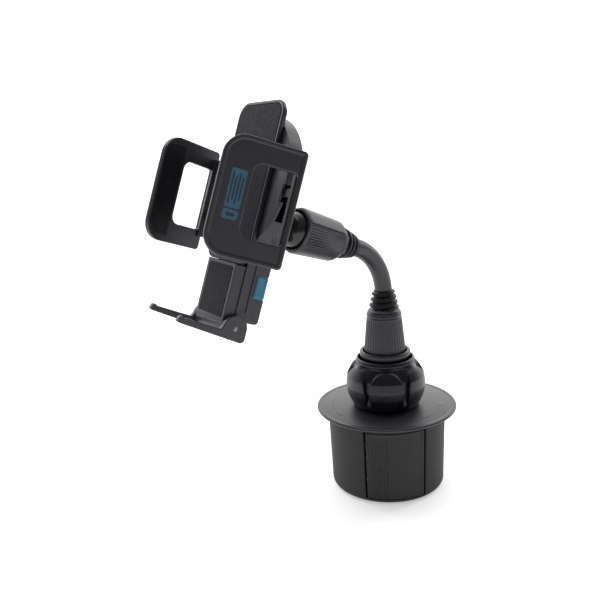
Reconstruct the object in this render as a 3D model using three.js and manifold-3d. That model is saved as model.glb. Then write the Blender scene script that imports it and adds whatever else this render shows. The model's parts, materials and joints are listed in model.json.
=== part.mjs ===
// Cup-holder phone mount: an expanding cup base, a bendable neck with a ball joint, and a
// spring cradle with two geared side arms, a sliding stem and folding feet.
// Millimetres, +Z up. The origin is the centre of the base's flat bottom.
import * as THREE from 'three';
import { mergeVertices } from 'three/addons/utils/BufferGeometryUtils.js';
import Module from 'manifold-3d';

const wasm = await Module();
wasm.setup();

// ---- Driving dimensions ----------------------------------------------------------------
const GAP = 0.3;                   // clearance between pieces that rest on each other

// cup base
const cupRadius = 36.2;            // outside of the cup at its top
const cupTaper = 1.2;              // how much smaller the cup is at its bottom
const cupHeight = 48.6;
const cupWall = 2.2;
const cupEdgeRadius = 3.6;         // rounded edge under the cup
const floorBottom = 4.4;
const floorThickness = 2.2;
const bottomPlateRadius = 27;
const bottomPlateThickness = 2;
const bottomScrewCircle = 22;      // radius of the circle that the bottom screws stand on
const flangeRadius = 43;
const flangeThickness = 2;
const segmentCount = 3;
const segmentHalfAngle = 30;       // degrees of the cup wall that each grip segment covers, halved
const segmentFirstAngle = -90;     // direction of the first segment
const segmentSideGap = 1.2;        // degrees between a segment and its opening's sides
const segmentWall = 3.4;
const segmentBottom = 3.2;         // foot of the cup below the segments
const cupRimHeight = 3;            // rim of the cup above the segments
const segmentTravel = 5;           // outward travel of each grip segment
const expandAngle = 60;            // knob turn that gives that travel, in degrees
const camPinRest = 17;             // radius of the follower pins at rest
const camPinRadius = 1.8;
const camDiscRadius = 28;
const camDiscThickness = 2.5;
const railHeight = 2.8;
const railWidth = 12;
const guideStart = 15;             // the guides of each rail begin this far from the centre
const guideWall = 1.6;
const spindleRadius = 10;
const spindleBore = 6.6;
const postRadius = 6.2;
const postFoot = 9;                // radius of the post's foot
const clipGrooveDepth = 1.2;
const clipGrooveWidth = 1.4;
const screwShank = 1.7;

// knob, collar and sleeve
const knobRadius = 24.4;
const knobLobes = 6;
const knobFirstLobe = -97;         // direction of the first lobe, in degrees
const valleyRadius = 7.2;          // scallops between the lobes
const valleyDepth = 2;
const knobBottomRadius = 20.8;
const knobHeight = 30;
const knobRecess = 16.5;           // radius of the recess in the knob's top
const knobRecessDepth = 8;
const knobWaist = 13.5;            // height of the widest place of the knob
const collarRadius = 15.6;
const collarHeight = 11.4;
const sleeveBottomRadius = 12.9;
const sleeveTopRadius = 10.2;
const sleeveHeight = 32;
const sleeveBore = 8.2;

// neck
const neckAzimuth = 38.5;          // direction the neck leans, degrees from -X towards -Y
const neckRadius = 5.2;
const coreRadius = 2.4;
const neckBendRadius = 33;
const neckBendAngle = 70.4;        // degrees turned from vertical
const bendAboveSleeve = 9;         // the bend begins this far above the sleeve
const neckStraight = 45.8;         // from the end of the bend to the centre of the ball
const hingeBelowBend = 4;          // lower bending point, below the start of the bend
const bendGap = 1.5;               // each hard end stops this far from a bending point
const bootLength = 11;
const lowerBootRadii = [9.1, 7.8, 6.7];
const upperBootRadii = [7.6, 6.9, 6.3];

// ball joint, measured along the neck from the centre of the ball
const ballRadius = 10.2;
const nutRimRadius = 12.3;
const nutTaper = 1.3;
const nutRim = 3;                  // the rim is this far in front of the ball's centre
const nutLength = 34.6;
const nutShoulder = 6.1;           // length of the rounded back end
const nutEndRadius = 8;
const upperHinge = 3.9;            // upper bending point, behind the nut
const socketRadius = 10.6;
const studRadius = 4.6;

// cradle pose
const cradleAzimuth = 31;          // direction the phone face looks, degrees from -X towards -Y
const cradleTilt = 20.2;           // lean back, in degrees
const ballToFace = 38.4;           // centre of the ball to the face of the pad
const armsAboveBall = 4.7;         // middle of the arms above the ball

// cradle plates, measured from the face of the pad (x) and the middle of the arms (z)
const plateHalfWidth = 22;
const plateTop = 52.5;
const plateBottom = -29;
const plateCorner = 8;
const padThickness = 0.9;
const plateFloor = 1;
const bezel = 1.6;
const discRadius = 34;
const discCentreZ = 12;
const coverThickness = 1.2;
const supportInset = 2;            // the cover's support ends this far inside the front plate
const railThickness = 2;
const discDepth = 6.4;             // hollow behind the cover
const housingWall = 1.6;
const tailHalfWidth = 15;
const tailWall = 2.4;
const tailBack = -18.4;
const tailFront = -5.4;
const tailBottom = -56.4;
const bossRadius = 12;

// arms
const armBesideDisc = 12.2;        // outside of an arm's back edge, beyond the gear case's radius
const armBackX = -4.5;
const armBackY = discRadius + armBesideDisc;
const armLength = 38;
const armHeight = 54.8;
const armCurl = 17.1;              // degrees that each arm leans in
const armWall = 3.2;
const armFrontCorner = 9;
const armBackCorner = 2;
const windowFront = 22.9;
const windowBack = 2.4;
const windowTop = 16.6;
const windowBottom = -17;
const armPadThickness = 1.4;
const armIn = 5;                   // travel of an arm towards the middle
const gearModule = 0.9;
const pinionTeeth = 12;
const pitchRadius = (gearModule * pinionTeeth) / 2;
const rackHeight = 5;

// stem, feet and buttons
const stemHalfWidth = 14.9;
const stemFace = 0.1;
const stemPadThickness = 0.9;
const hingeX = -5.3;
const hingeZ = -60;
const lugRadius = 6.4;
const footPinRadius = 1.9;
const footWidth = 2.9;
const footReach = 31;              // hinge to the tip of a foot
const footThickness = 3;
const footRise = 8.9;              // degrees that the underside of a foot climbs
const buttonTop = -32.3;
const buttonHeight = 11.6;
const buttonFront = -12.2;
const buttonProud = 0.9;

// ---- Materials ---------------------------------------------------------------------------
const satinBlack = () => new THREE.MeshStandardMaterial({ color: 0x1b1b1e, roughness: 0.5, metalness: 0 });
const mattBlack = () => new THREE.MeshStandardMaterial({ color: 0x161618, roughness: 0.8, metalness: 0 });
const glossBlack = () => new THREE.MeshStandardMaterial({ color: 0x101012, roughness: 0.2, metalness: 0 });
const padGrey = () => new THREE.MeshStandardMaterial({ color: 0x2a2a2c, roughness: 0.95, metalness: 0 });
const steel = () => new THREE.MeshStandardMaterial({ color: 0x9a9da2, roughness: 0.35, metalness: 1 });
const nylon = () => new THREE.MeshStandardMaterial({ color: 0xd8d6ce, roughness: 0.6, metalness: 0 });
const skyBlue = () => new THREE.MeshStandardMaterial({ color: 0x3aa6cf, roughness: 0.4, metalness: 0 });

// ---- Shape helpers -------------------------------------------------------------------------
const radians = THREE.MathUtils.degToRad;

function signedVolume(position, triangles) {
  const a = new THREE.Vector3();
  const b = new THREE.Vector3();
  const c = new THREE.Vector3();
  let total = 0;
  for (let i = 0; i < triangles.length; i += 3) {
    a.fromBufferAttribute(position, triangles[i]);
    b.fromBufferAttribute(position, triangles[i + 1]);
    c.fromBufferAttribute(position, triangles[i + 2]);
    total += a.dot(b.cross(c)) / 6;
  }
  return total;
}

// A closed three.js geometry as a solid that can be joined and cut.
function solidOf(geometry) {
  const bare = geometry.clone();
  bare.deleteAttribute('normal');
  bare.deleteAttribute('uv');
  const welded = mergeVertices(bare, 1e-4);
  const index = welded.index.array;
  const triangles = [];
  for (let i = 0; i < index.length; i += 3) {
    const [a, b, c] = [index[i], index[i + 1], index[i + 2]];
    if (a !== b && b !== c && c !== a) triangles.push(a, b, c);
  }
  if (signedVolume(welded.attributes.position, triangles) < 0) triangles.reverse();
  const vertProperties = welded.attributes.position.array;
  const mesh = new wasm.Mesh({ numProp: 3, vertProperties, triVerts: new Uint32Array(triangles) });
  return new wasm.Manifold(mesh);
}

function geometryOf(solid) {
  const { vertProperties, triVerts } = solid.getMesh();
  const geometry = new THREE.BufferGeometry();
  geometry.setAttribute('position', new THREE.BufferAttribute(new Float32Array(vertProperties), 3));
  geometry.setIndex(new THREE.BufferAttribute(new Uint32Array(triVerts), 1));
  geometry.computeVertexNormals();
  return geometry;
}

// Solid of revolution about Z. The profile lists [radius, z] and closes on itself.
function turned(profile, segments = 24) {
  const loop = [...profile, profile[0]].map(([r, z]) => new THREE.Vector2(r, z));
  return solidOf(new THREE.LatheGeometry(loop, segments).rotateX(Math.PI / 2));
}

function disc(radius, z0, z1, segments = 36) {
  return turned([[0, z0], [radius, z0], [radius, z1], [0, z1]], segments);
}

function ring(outer, inner, z0, z1, segments = 24) {
  return turned([[inner, z0], [outer, z0], [outer, z1], [inner, z1]], segments);
}

function block([x0, x1], [y0, y1], [z0, z1]) {
  const geometry = new THREE.BoxGeometry(x1 - x0, y1 - y0, z1 - z0);
  return solidOf(geometry.translate((x0 + x1) / 2, (y0 + y1) / 2, (z0 + z1) / 2));
}

// Round bar between two points of a line parallel to the named axis.
function bar(axis, radius, from, to, [u, v] = [0, 0], segments = 10) {
  const geometry = new THREE.CylinderGeometry(radius, radius, to - from, segments);
  const middle = (from + to) / 2;
  if (axis === 'x') return solidOf(geometry.rotateZ(-Math.PI / 2).translate(middle, u, v));
  if (axis === 'y') return solidOf(geometry.translate(u, middle, v));
  return solidOf(geometry.rotateX(Math.PI / 2).translate(u, v, middle));
}

function ball(radius, segments = 24) {
  return solidOf(new THREE.SphereGeometry(radius, segments, segments / 2));
}

const shapeOf = (points) => new THREE.Shape(points.map(([x, y]) => new THREE.Vector2(x, y)));

function extrusion(shape, depth) {
  return new THREE.ExtrudeGeometry(shape, { depth, bevelEnabled: false, curveSegments: 4 });
}

// Prism on the XY plane between z0 and z1.
function prism(points, z0, z1) {
  return solidOf(extrusion(shapeOf(points), z1 - z0).translate(0, 0, z0));
}

// Plate that stands in the YZ plane, from x0 to x1.
function standing(shape, x0, x1) {
  const geometry = extrusion(shape, x1 - x0);
  geometry.applyMatrix4(new THREE.Matrix4().set(0, 0, 1, x0, 1, 0, 0, 0, 0, 1, 0, 0, 0, 0, 0, 1));
  return solidOf(geometry);
}

// Pie slice of the given half angle about a direction, tall enough to cut any piece of the base.
function slice(direction, halfAngle, radius, z0, z1) {
  const points = [[0, 0]];
  const steps = 6;
  for (let i = 0; i <= steps; i += 1) {
    const angle = radians(direction - halfAngle + (2 * halfAngle * i) / steps);
    points.push([radius * Math.cos(angle), radius * Math.sin(angle)]);
  }
  return prism(points, z0, z1);
}

// Rounded rectangle; the four corner radii run from low-left, anticlockwise.
function roundedRectangle(x0, x1, y0, y1, [a, b, c, d]) {
  const shape = new THREE.Shape();
  shape.moveTo(x0 + a, y0);
  shape.lineTo(x1 - b, y0);
  shape.absarc(x1 - b, y0 + b, b, -Math.PI / 2, 0, false);
  shape.lineTo(x1, y1 - c);
  shape.absarc(x1 - c, y1 - c, c, 0, Math.PI / 2, false);
  shape.lineTo(x0 + d, y1);
  shape.absarc(x0 + d, y1 - d, d, Math.PI / 2, Math.PI, false);
  shape.lineTo(x0, y0 + a);
  shape.absarc(x0 + a, y0 + a, a, Math.PI, 1.5 * Math.PI, false);
  return shape;
}

// Coil of round wire about Z.
function coil(radius, wire, z0, z1, turns) {
  const stepsPerTurn = 7;
  const points = [];
  for (let i = 0; i <= turns * stepsPerTurn; i += 1) {
    const share = i / (turns * stepsPerTurn);
    const angle = share * turns * 2 * Math.PI;
    const z = z0 + share * (z1 - z0);
    points.push(new THREE.Vector3(radius * Math.cos(angle), radius * Math.sin(angle), z));
  }
  return alongPath(wire, 0, new THREE.CatmullRomCurve3(points), points.length, 4);
}

// Round bar, or tube if it has a bore, along a curve.
function alongPath(radius, bore, curve, steps, sides) {
  const shape = new THREE.Shape();
  shape.absarc(0, 0, radius, 0, 2 * Math.PI, false);
  if (bore > 0) {
    const hole = new THREE.Path();
    hole.absarc(0, 0, bore, 0, 2 * Math.PI, true);
    shape.holes.push(hole);
  }
  const settings = { steps, extrudePath: curve, curveSegments: sides / 2, bevelEnabled: false };
  return solidOf(new THREE.ExtrudeGeometry(shape, settings));
}

const object = new THREE.Group();

function add(name, solid, material, parent = object) {
  const mesh = new THREE.Mesh(geometryOf(solid), material);
  mesh.name = name;
  parent.add(mesh);
  return mesh;
}

// ---- Cup base ------------------------------------------------------------------------------
const floorTop = floorBottom + floorThickness;
const cupBottomRadius = cupRadius - cupTaper;
const railBottom = floorTop + GAP;
const railTop = railBottom + railHeight;
const camBottom = railTop + 0.5;
const camTop = camBottom + camDiscThickness;
const flangeBottom = cupHeight + 0.7;
const flangeTop = flangeBottom + flangeThickness;
const segmentTop = cupHeight - cupRimHeight;
const segmentInner = cupRadius - cupTaper - segmentWall;
const segmentAngles = Array.from(
  { length: segmentCount },
  (_, i) => segmentFirstAngle + (i * 360) / segmentCount,
);
const cupSides = 42;

// Bottom screw halfway between the segment at the given angle and the next one.
function screwPlace(angle) {
  const direction = radians(angle + 180 / segmentCount);
  return [bottomScrewCircle * Math.cos(direction), bottomScrewCircle * Math.sin(direction)];
}

// Outside of the cup: a slight cone with a rounded bottom edge.
function cupOutline() {
  const points = [];
  for (let i = 0; i <= 5; i += 1) {
    const angle = (i / 5) * (Math.PI / 2);
    const r = cupBottomRadius - cupEdgeRadius * (1 - Math.sin(angle));
    points.push([r, cupEdgeRadius * (1 - Math.cos(angle))]);
  }
  points.push([cupRadius, cupHeight]);
  return points;
}

function makeCup() {
  const recess = bottomPlateRadius + GAP;
  let cup = turned([
    [recess, 0], ...cupOutline(), [cupRadius - cupWall, cupHeight], [cupBottomRadius - cupWall, floorTop],
    [0, floorTop], [0, floorBottom], [recess, floorBottom],
  ], cupSides);
  for (const angle of segmentAngles) {
    const half = segmentHalfAngle + segmentSideGap;
    const opening = slice(angle, half, cupRadius + 6, segmentBottom - GAP, segmentTop + GAP);
    cup = cup.subtract(opening.subtract(disc(segmentInner - 2 * GAP, -1, cupHeight + 1)));
    const guideHalf = railWidth / 2 + GAP;
    for (const side of [-1, 1]) {
      const guideZ = [floorTop - 0.5, railTop - 0.4];
      const guide = block([guideStart, segmentInner - 3], [guideHalf, guideHalf + guideWall], guideZ);
      const turnedGuide = side > 0 ? guide : guide.mirror([0, 1, 0]);
      cup = cup.add(turnedGuide.rotate([0, 0, angle]));
    }
    cup = cup.subtract(bar('z', screwShank + GAP, floorBottom - 1, floorTop + 1, screwPlace(angle)));
  }
  return cup.subtract(bar('z', screwShank + GAP, floorBottom - 1, floorTop + 1));
}

add('base_cup', makeCup(), mattBlack());

function makeBottomPlate() {
  let plate = disc(bottomPlateRadius, 0, bottomPlateThickness);
  for (const angle of segmentAngles) {
    const place = screwPlace(angle);
    plate = plate.subtract(bar('z', screwShank + GAP, -1, bottomPlateThickness + 1, place));
    plate = plate.subtract(bar('z', 3.3, -1, 1, place));
  }
  return plate;
}

add('bottom_plate', makeBottomPlate(), mattBlack());

segmentAngles.forEach((angle, i) => {
  const place = screwPlace(angle);
  const head = bar('z', 3, 0.15, 0.85, place);
  const screw = head.add(bar('z', screwShank, 0.5, floorTop - 0.2, place));
  add(`bottom_screw_${i + 1}`, screw, steel());
});

function makeSegment(angle) {
  const outer = cupOutline();
  const wall = turned([
    [segmentInner, segmentBottom], ...outer.filter(([, z]) => z > segmentBottom),
  ].map(([r, z]) => [r, Math.min(z, segmentTop)]).concat([[segmentInner, segmentTop]]), cupSides);
  const shell = wall.intersect(slice(0, segmentHalfAngle, cupRadius + 6, -1, cupHeight + 1));
  const half = railWidth / 2;
  const rail = block([camPinRest - 4, segmentInner + 1], [-half, half], [railBottom, railTop]);
  const pin = bar('z', camPinRadius, railTop - 0.5, camTop - 0.2, [camPinRest, 0]);
  return shell.add(rail).add(pin).rotate([0, 0, angle]);
}

segmentAngles.forEach((angle, i) => add(`grip_segment_${i + 1}`, makeSegment(angle), mattBlack()));

// Cam disc: each slot is a spiral whose radius grows evenly with the turn.
function makeCamDisc() {
  let cam = ring(camDiscRadius, postRadius + 0.7, camBottom, camTop, 30);
  const half = camPinRadius + GAP;
  const margin = 7;
  const steps = 8;
  for (const angle of segmentAngles) {
    const inner = [];
    const outer = [];
    for (let i = 0; i <= steps; i += 1) {
      const turn = -margin + ((expandAngle + 2 * margin) * i) / steps;
      const r = camPinRest + (segmentTravel * turn) / expandAngle;
      const direction = radians(angle - turn);
      inner.push([(r - half) * Math.cos(direction), (r - half) * Math.sin(direction)]);
      outer.push([(r + half) * Math.cos(direction), (r + half) * Math.sin(direction)]);
    }
    cam = cam.subtract(prism([...outer, ...inner.reverse()], camBottom - 1, camTop + 1));
  }
  return cam;
}

add('cam_disc', makeCamDisc(), nylon());

const knobBottom = flangeTop + 0.5;
const knobTop = knobBottom + knobHeight;
const spindleTop = knobBottom + 6;
add('cam_spindle', ring(spindleRadius, spindleBore, camTop + GAP, spindleTop), mattBlack());

function makeFlange() {
  const lipOuter = cupBottomRadius - cupWall - 1.2;
  const plate = turned([
    [spindleRadius + 2, flangeBottom], [lipOuter - 2, flangeBottom], [lipOuter - 2, flangeBottom - 3],
    [lipOuter, flangeBottom - 3], [lipOuter, flangeBottom], [flangeRadius - 0.6, flangeBottom],
    [flangeRadius, flangeBottom + 0.6], [flangeRadius, flangeTop - 0.6], [flangeRadius - 0.6, flangeTop],
    [spindleRadius + 2, flangeTop],
  ], 48);
  let flange = plate;
  for (const angle of segmentAngles) {
    const clear = slice(angle, segmentHalfAngle + 2, cupRadius - 1, flangeBottom - 4, flangeBottom);
    flange = flange.subtract(clear);
  }
  return flange;
}

add('flange_plate', makeFlange(), satinBlack());

function makeKnob() {
  const recessBottom = knobTop - knobRecessDepth;
  const body = turned([
    [spindleRadius + GAP, knobBottom], [knobBottomRadius - 0.8, knobBottom],
    [knobBottomRadius, knobBottom + 1.4], [knobRadius - 1.2, knobBottom + 8],
    [knobRadius, knobBottom + knobWaist], [knobRadius - 0.8, knobBottom + knobWaist + 5.5],
    [knobRadius - 3.8, knobTop - 4.5], [knobRecess + 1.3, knobTop - 0.7], [knobRecess + 0.7, knobTop],
    [knobRecess, knobTop], [knobRecess, recessBottom], [postRadius + 0.8, recessBottom],
    [postRadius + 0.8, spindleTop + GAP], [spindleRadius + GAP, spindleTop + GAP],
  ], 36);
  let knob = body;
  for (let i = 0; i < knobLobes; i += 1) {
    const angle = radians(knobFirstLobe + (i + 0.5) * (360 / knobLobes));
    const away = knobRadius + valleyRadius - valleyDepth;
    const place = [away * Math.cos(angle), away * Math.sin(angle)];
    const valley = bar('z', valleyRadius, knobBottom - 1, knobTop + 1, place, 16);
    knob = knob.subtract(valley);
  }
  return knob;
}

add('knob', makeKnob(), satinBlack());

const collarBottom = knobTop - knobRecessDepth + 0.9;
const collarTop = collarBottom + collarHeight;
const collarFloor = collarBottom + 5;
const sleeveBottom = collarFloor + GAP;
const sleeveTop = sleeveBottom + sleeveHeight;
const neckBendStart = sleeveTop + bendAboveSleeve;
const clipBottom = sleeveBottom + 8;
const postTop = clipBottom + 3.5;

function makePost() {
  const bore = screwShank + GAP;
  const boreTop = floorTop + 14;
  const groove = clipBottom + GAP;
  const grooveTop = groove + clipGrooveWidth;
  const grooveRadius = postRadius - clipGrooveDepth;
  return turned([
    [bore, floorTop + GAP], [postFoot, floorTop + GAP], [postFoot, floorTop + 1.6],
    [postRadius, floorTop + 2.4], [postRadius, groove], [grooveRadius, groove],
    [grooveRadius, grooveTop], [postRadius, grooveTop], [postRadius, postTop], [0, postTop],
    [0, boreTop], [bore, boreTop],
  ]);
}

add('centre_post', makePost(), steel());
add('post_screw', bar('z', 3.4, 2.4, 4.1).add(bar('z', screwShank, 4, floorTop + 12)), steel());

const sleeveSeat = sleeveBottomRadius + 0.5;
add('collar_ring', turned([
  [postRadius + GAP, collarBottom], [collarRadius - 2, collarBottom], [collarRadius, collarTop - 1],
  [collarRadius - 0.5, collarTop], [sleeveSeat, collarTop], [sleeveSeat, collarFloor],
  [postRadius + GAP, collarFloor],
]), satinBlack());

// ---- Lower end of the neck: swivelling sleeve --------------------------------------------------
const neck = new THREE.Group();
neck.rotation.z = radians(180 + neckAzimuth);
object.add(neck);

const lowerHinge = neckBendStart - hingeBelowBend;

add('lower_sleeve', turned([
  [postRadius + GAP, sleeveBottom], [sleeveBottomRadius, sleeveBottom],
  [sleeveBottomRadius, sleeveBottom + 4],
  [sleeveTopRadius, sleeveTop - 2.5], [sleeveTopRadius - 0.8, sleeveTop], [sleeveBore, sleeveTop],
  [sleeveBore, clipBottom - GAP], [postRadius + GAP, clipBottom - GAP],
]), satinBlack(), neck);

const clip = ring(sleeveBore - 0.4, postRadius - 0.9, clipBottom + 0.5, clipBottom + 1.5);
add('swivel_clip', clip, steel(), neck);

const ferruleTop = sleeveTop - GAP;
const ferruleLength = 14;
const coreRoom = coreRadius + 0.4;
const lowerFerrule = ring(sleeveBore - GAP, coreRoom, ferruleTop - ferruleLength, ferruleTop);
add('lower_ferrule', lowerFerrule, steel(), neck);

// Soft bellows: three ribs that get smaller towards the end.
function bellows(bore, z0, length, radii) {
  const pitch = length / radii.length;
  const profile = [[bore, z0]];
  radii.forEach((r, i) => {
    const z = z0 + i * pitch;
    const waist = Math.max(bore + 0.9, r - 1.8);
    profile.push([r - 0.4, z], [r, z + 0.4], [r, z + pitch * 0.5], [r - 0.4, z + pitch * 0.6]);
    profile.push([waist, z + pitch * 0.7], [waist, z + pitch * 0.9]);
  });
  profile.push([bore + 0.9, z0 + length], [bore, z0 + length]);
  return turned(profile, 16);
}

const lowerBoot = bellows(neckRadius + GAP, sleeveTop + GAP, bootLength, lowerBootRadii);
add('lower_boot', lowerBoot, mattBlack(), neck);

// Centre line of the neck: straight up, through the bend, then straight to the ball.
class NeckCurve extends THREE.Curve {
  constructor(from, to) {
    super();
    this.from = from;
    this.to = to;
  }

  getPoint(share) {
    const along = this.from + share * (this.to - this.from);
    const bend = radians(neckBendAngle);
    const turn = Math.min(Math.max(along / neckBendRadius, 0), bend);
    const rest = along - turn * neckBendRadius;
    const x = neckBendRadius * (1 - Math.cos(turn)) + rest * Math.sin(turn);
    const z = neckBendStart + neckBendRadius * Math.sin(turn) + rest * Math.cos(turn);
    return new THREE.Vector3(x, 0, z);
  }
}

const bendLength = neckBendRadius * radians(neckBendAngle);
const ballAlong = bendLength + neckStraight;
const nutBack = nutRim - nutLength;
const upperHingeAlong = ballAlong + nutBack - upperHinge;
const jacketPath = new NeckCurve(-hingeBelowBend - bendGap, upperHingeAlong - bendGap);
add('gooseneck_jacket', alongPath(neckRadius, coreRoom, jacketPath, 14, 12), mattBlack(), neck);
const corePath = new NeckCurve(ferruleTop - ferruleLength + 1 - neckBendStart, ballAlong - 18);
add('gooseneck_core', alongPath(coreRadius, 0, corePath, 16, 6), steel(), neck);

// ---- Ball joint: z runs along the neck's end, with 0 at the centre of the ball ----------------
const ballPoint = new NeckCurve(0, ballAlong).getPoint(1);
const joint = new THREE.Group();
joint.position.copy(ballPoint);
joint.rotation.y = radians(neckBendAngle);
neck.add(joint);

add('upper_boot', bellows(neckRadius + GAP, 0, bootLength, upperBootRadii).rotate([180, 0, 0])
  .translate([0, 0, nutBack - GAP]), mattBlack(), joint);
const socketBack = -17;
const upperFerrule = ring(neckRadius, coreRoom, nutBack - upperHinge + bendGap, socketBack - 0.5);
add('upper_ferrule', upperFerrule, steel(), joint);

function makeSocket() {
  const seat = ball(ballRadius + GAP);
  const linerFront = -6.2;
  const linerRoom = ball(ballRadius + 2.1).intersect(disc(socketRadius - 1.3, -30, linerFront, 24));
  const socketFront = -4.5;
  const skirtEnd = nutBack + nutShoulder + 1.5;
  const body = turned([
    [neckRadius + GAP, skirtEnd], [socketRadius, skirtEnd], [socketRadius, socketFront],
    [0, socketFront], [0, socketBack], [neckRadius + GAP, socketBack],
  ]);
  return body.subtract(seat).subtract(linerRoom).subtract(bar('z', coreRadius + 0.6, -20, -5));
}

add('ball_socket', makeSocket(), satinBlack(), joint);

function makeFrictionSeat() {
  const shell = ball(ballRadius + 1.8).subtract(ball(ballRadius + GAP));
  const band = ring(socketRadius - 1.6, 3, -11.4, -6.5);
  return shell.intersect(band);
}

add('friction_seat', makeFrictionSeat(), nylon(), joint);

function makeNut() {
  const inside = socketRadius + GAP;
  const back = nutBack;
  const shoulder = back + nutShoulder;
  const body = turned([
    [neckRadius + GAP, back], [nutEndRadius, back], [nutRimRadius - nutTaper - 1, shoulder - 2.4],
    [nutRimRadius - nutTaper, shoulder], [nutRimRadius, nutRim - 0.6], [nutRimRadius - 0.5, nutRim],
    [ballRadius - 0.6, nutRim], [inside, 0], [inside, shoulder], [neckRadius + GAP, shoulder],
  ], 28);
  return body.subtract(ball(ballRadius + GAP));
}

add('ball_nut', makeNut(), satinBlack(), joint);

// ---- Cradle ----------------------------------------------------------------------------------
// The stud frame has x along the stud. The face frame has x out of the pad, y towards the near
// arm and z up, with its origin on the pad's face at the middle of the arms.
const stud = new THREE.Group();
neck.updateWorldMatrix(true, true);
stud.position.setFromMatrixPosition(joint.matrixWorld);
stud.rotation.set(0, radians(-cradleTilt), radians(180 + cradleAzimuth), 'ZYX');
object.add(stud);

const face = new THREE.Group();
face.position.set(ballToFace, 0, armsAboveBall);
stud.add(face);

const studEnd = ballToFace + tailBack + 2.6;
const studHead = 8.4;
add('ball_stud', ball(ballRadius, 20)
  .add(bar('x', studRadius, 6, studEnd, [0, 0], 16))
  .add(bar('x', studHead, studEnd - 2.2, studEnd, [0, 0], 18)), glossBlack(), stud);

const retainerBack = ballToFace + tailBack - 2;
add('stud_retainer', solidOf(new THREE.LatheGeometry(
  [[studRadius + GAP, 0], [9.8, 0], [10.4, 1.7], [studRadius + GAP, 1.7], [studRadius + GAP, 0]]
    .map(([r, z]) => new THREE.Vector2(r, z)),
  20,
).rotateZ(-Math.PI / 2).translate(retainerBack, 0, 0)), satinBlack(), stud);

function discPoint(radius, degrees) {
  const angle = radians(degrees);
  return [radius * Math.cos(angle), discCentreZ + radius * Math.sin(angle)];
}

const mirrored = ([y, z]) => [-y, z];

// plates and pad
const padBack = -padThickness;
const plateFront = padBack - GAP;
const plateBack = plateFront - plateFloor;
const coverFront = plateBack - GAP;
const coverBack = coverFront - coverThickness;
const railFront = coverBack - GAP;
const railBack = railFront - railThickness;
const hollowBack = coverBack - discDepth;
const discBack = hollowBack - housingWall;
const corner4 = (r) => [r, r, r, r];
const outlineYZ = (halfWidth, z0, z1, r) => roundedRectangle(-halfWidth, halfWidth, z0, z1, corner4(r));

const plateOutline = outlineYZ(plateHalfWidth, plateBottom, plateTop, plateCorner);
const insideBezel = (edge, corner) => outlineYZ(
  plateHalfWidth - edge, plateBottom + edge, plateTop - edge, corner,
);
const plateRecess = insideBezel(bezel, plateCorner - bezel);
add('front_plate', standing(plateOutline, plateBack, padBack + 0.5)
  .subtract(standing(plateRecess, plateFront, 2)), satinBlack(), face);
const padOutline = insideBezel(bezel + GAP, plateCorner - bezel);
add('face_pad', standing(padOutline, padBack, 0), padGrey(), face);

// Places of the four housing screws, as [y, z]; the lower two stand just below the arm rails.
const upperScrew = discPoint(discRadius - 5.6, 50.7);
const lowerScrew = discPoint(discRadius - 4.8, -61.8);
const screwPlaces = [upperScrew, mirrored(upperScrew), lowerScrew, mirrored(lowerScrew)];
const postShaftRadius = 1.6;
const discSides = 42;

function makeCover() {
  let cover = bar('x', discRadius - GAP, coverBack, coverFront, [0, discCentreZ], discSides);
  const support = outlineYZ(plateHalfWidth - supportInset, discCentreZ, plateTop - supportInset, 5);
  cover = cover.add(standing(support, coverBack, coverFront));
  for (const place of screwPlaces) {
    cover = cover.add(bar('x', 2.8, hollowBack + GAP, coverBack + 0.2, place));
    cover = cover.subtract(bar('x', 1.6, hollowBack - 1, coverBack - 0.4, place));
  }
  return cover.subtract(bar('x', postShaftRadius + GAP, coverBack - 1, coverBack + 0.6, [0, 0]));
}

add('front_housing', makeCover(), satinBlack(), face);

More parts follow.
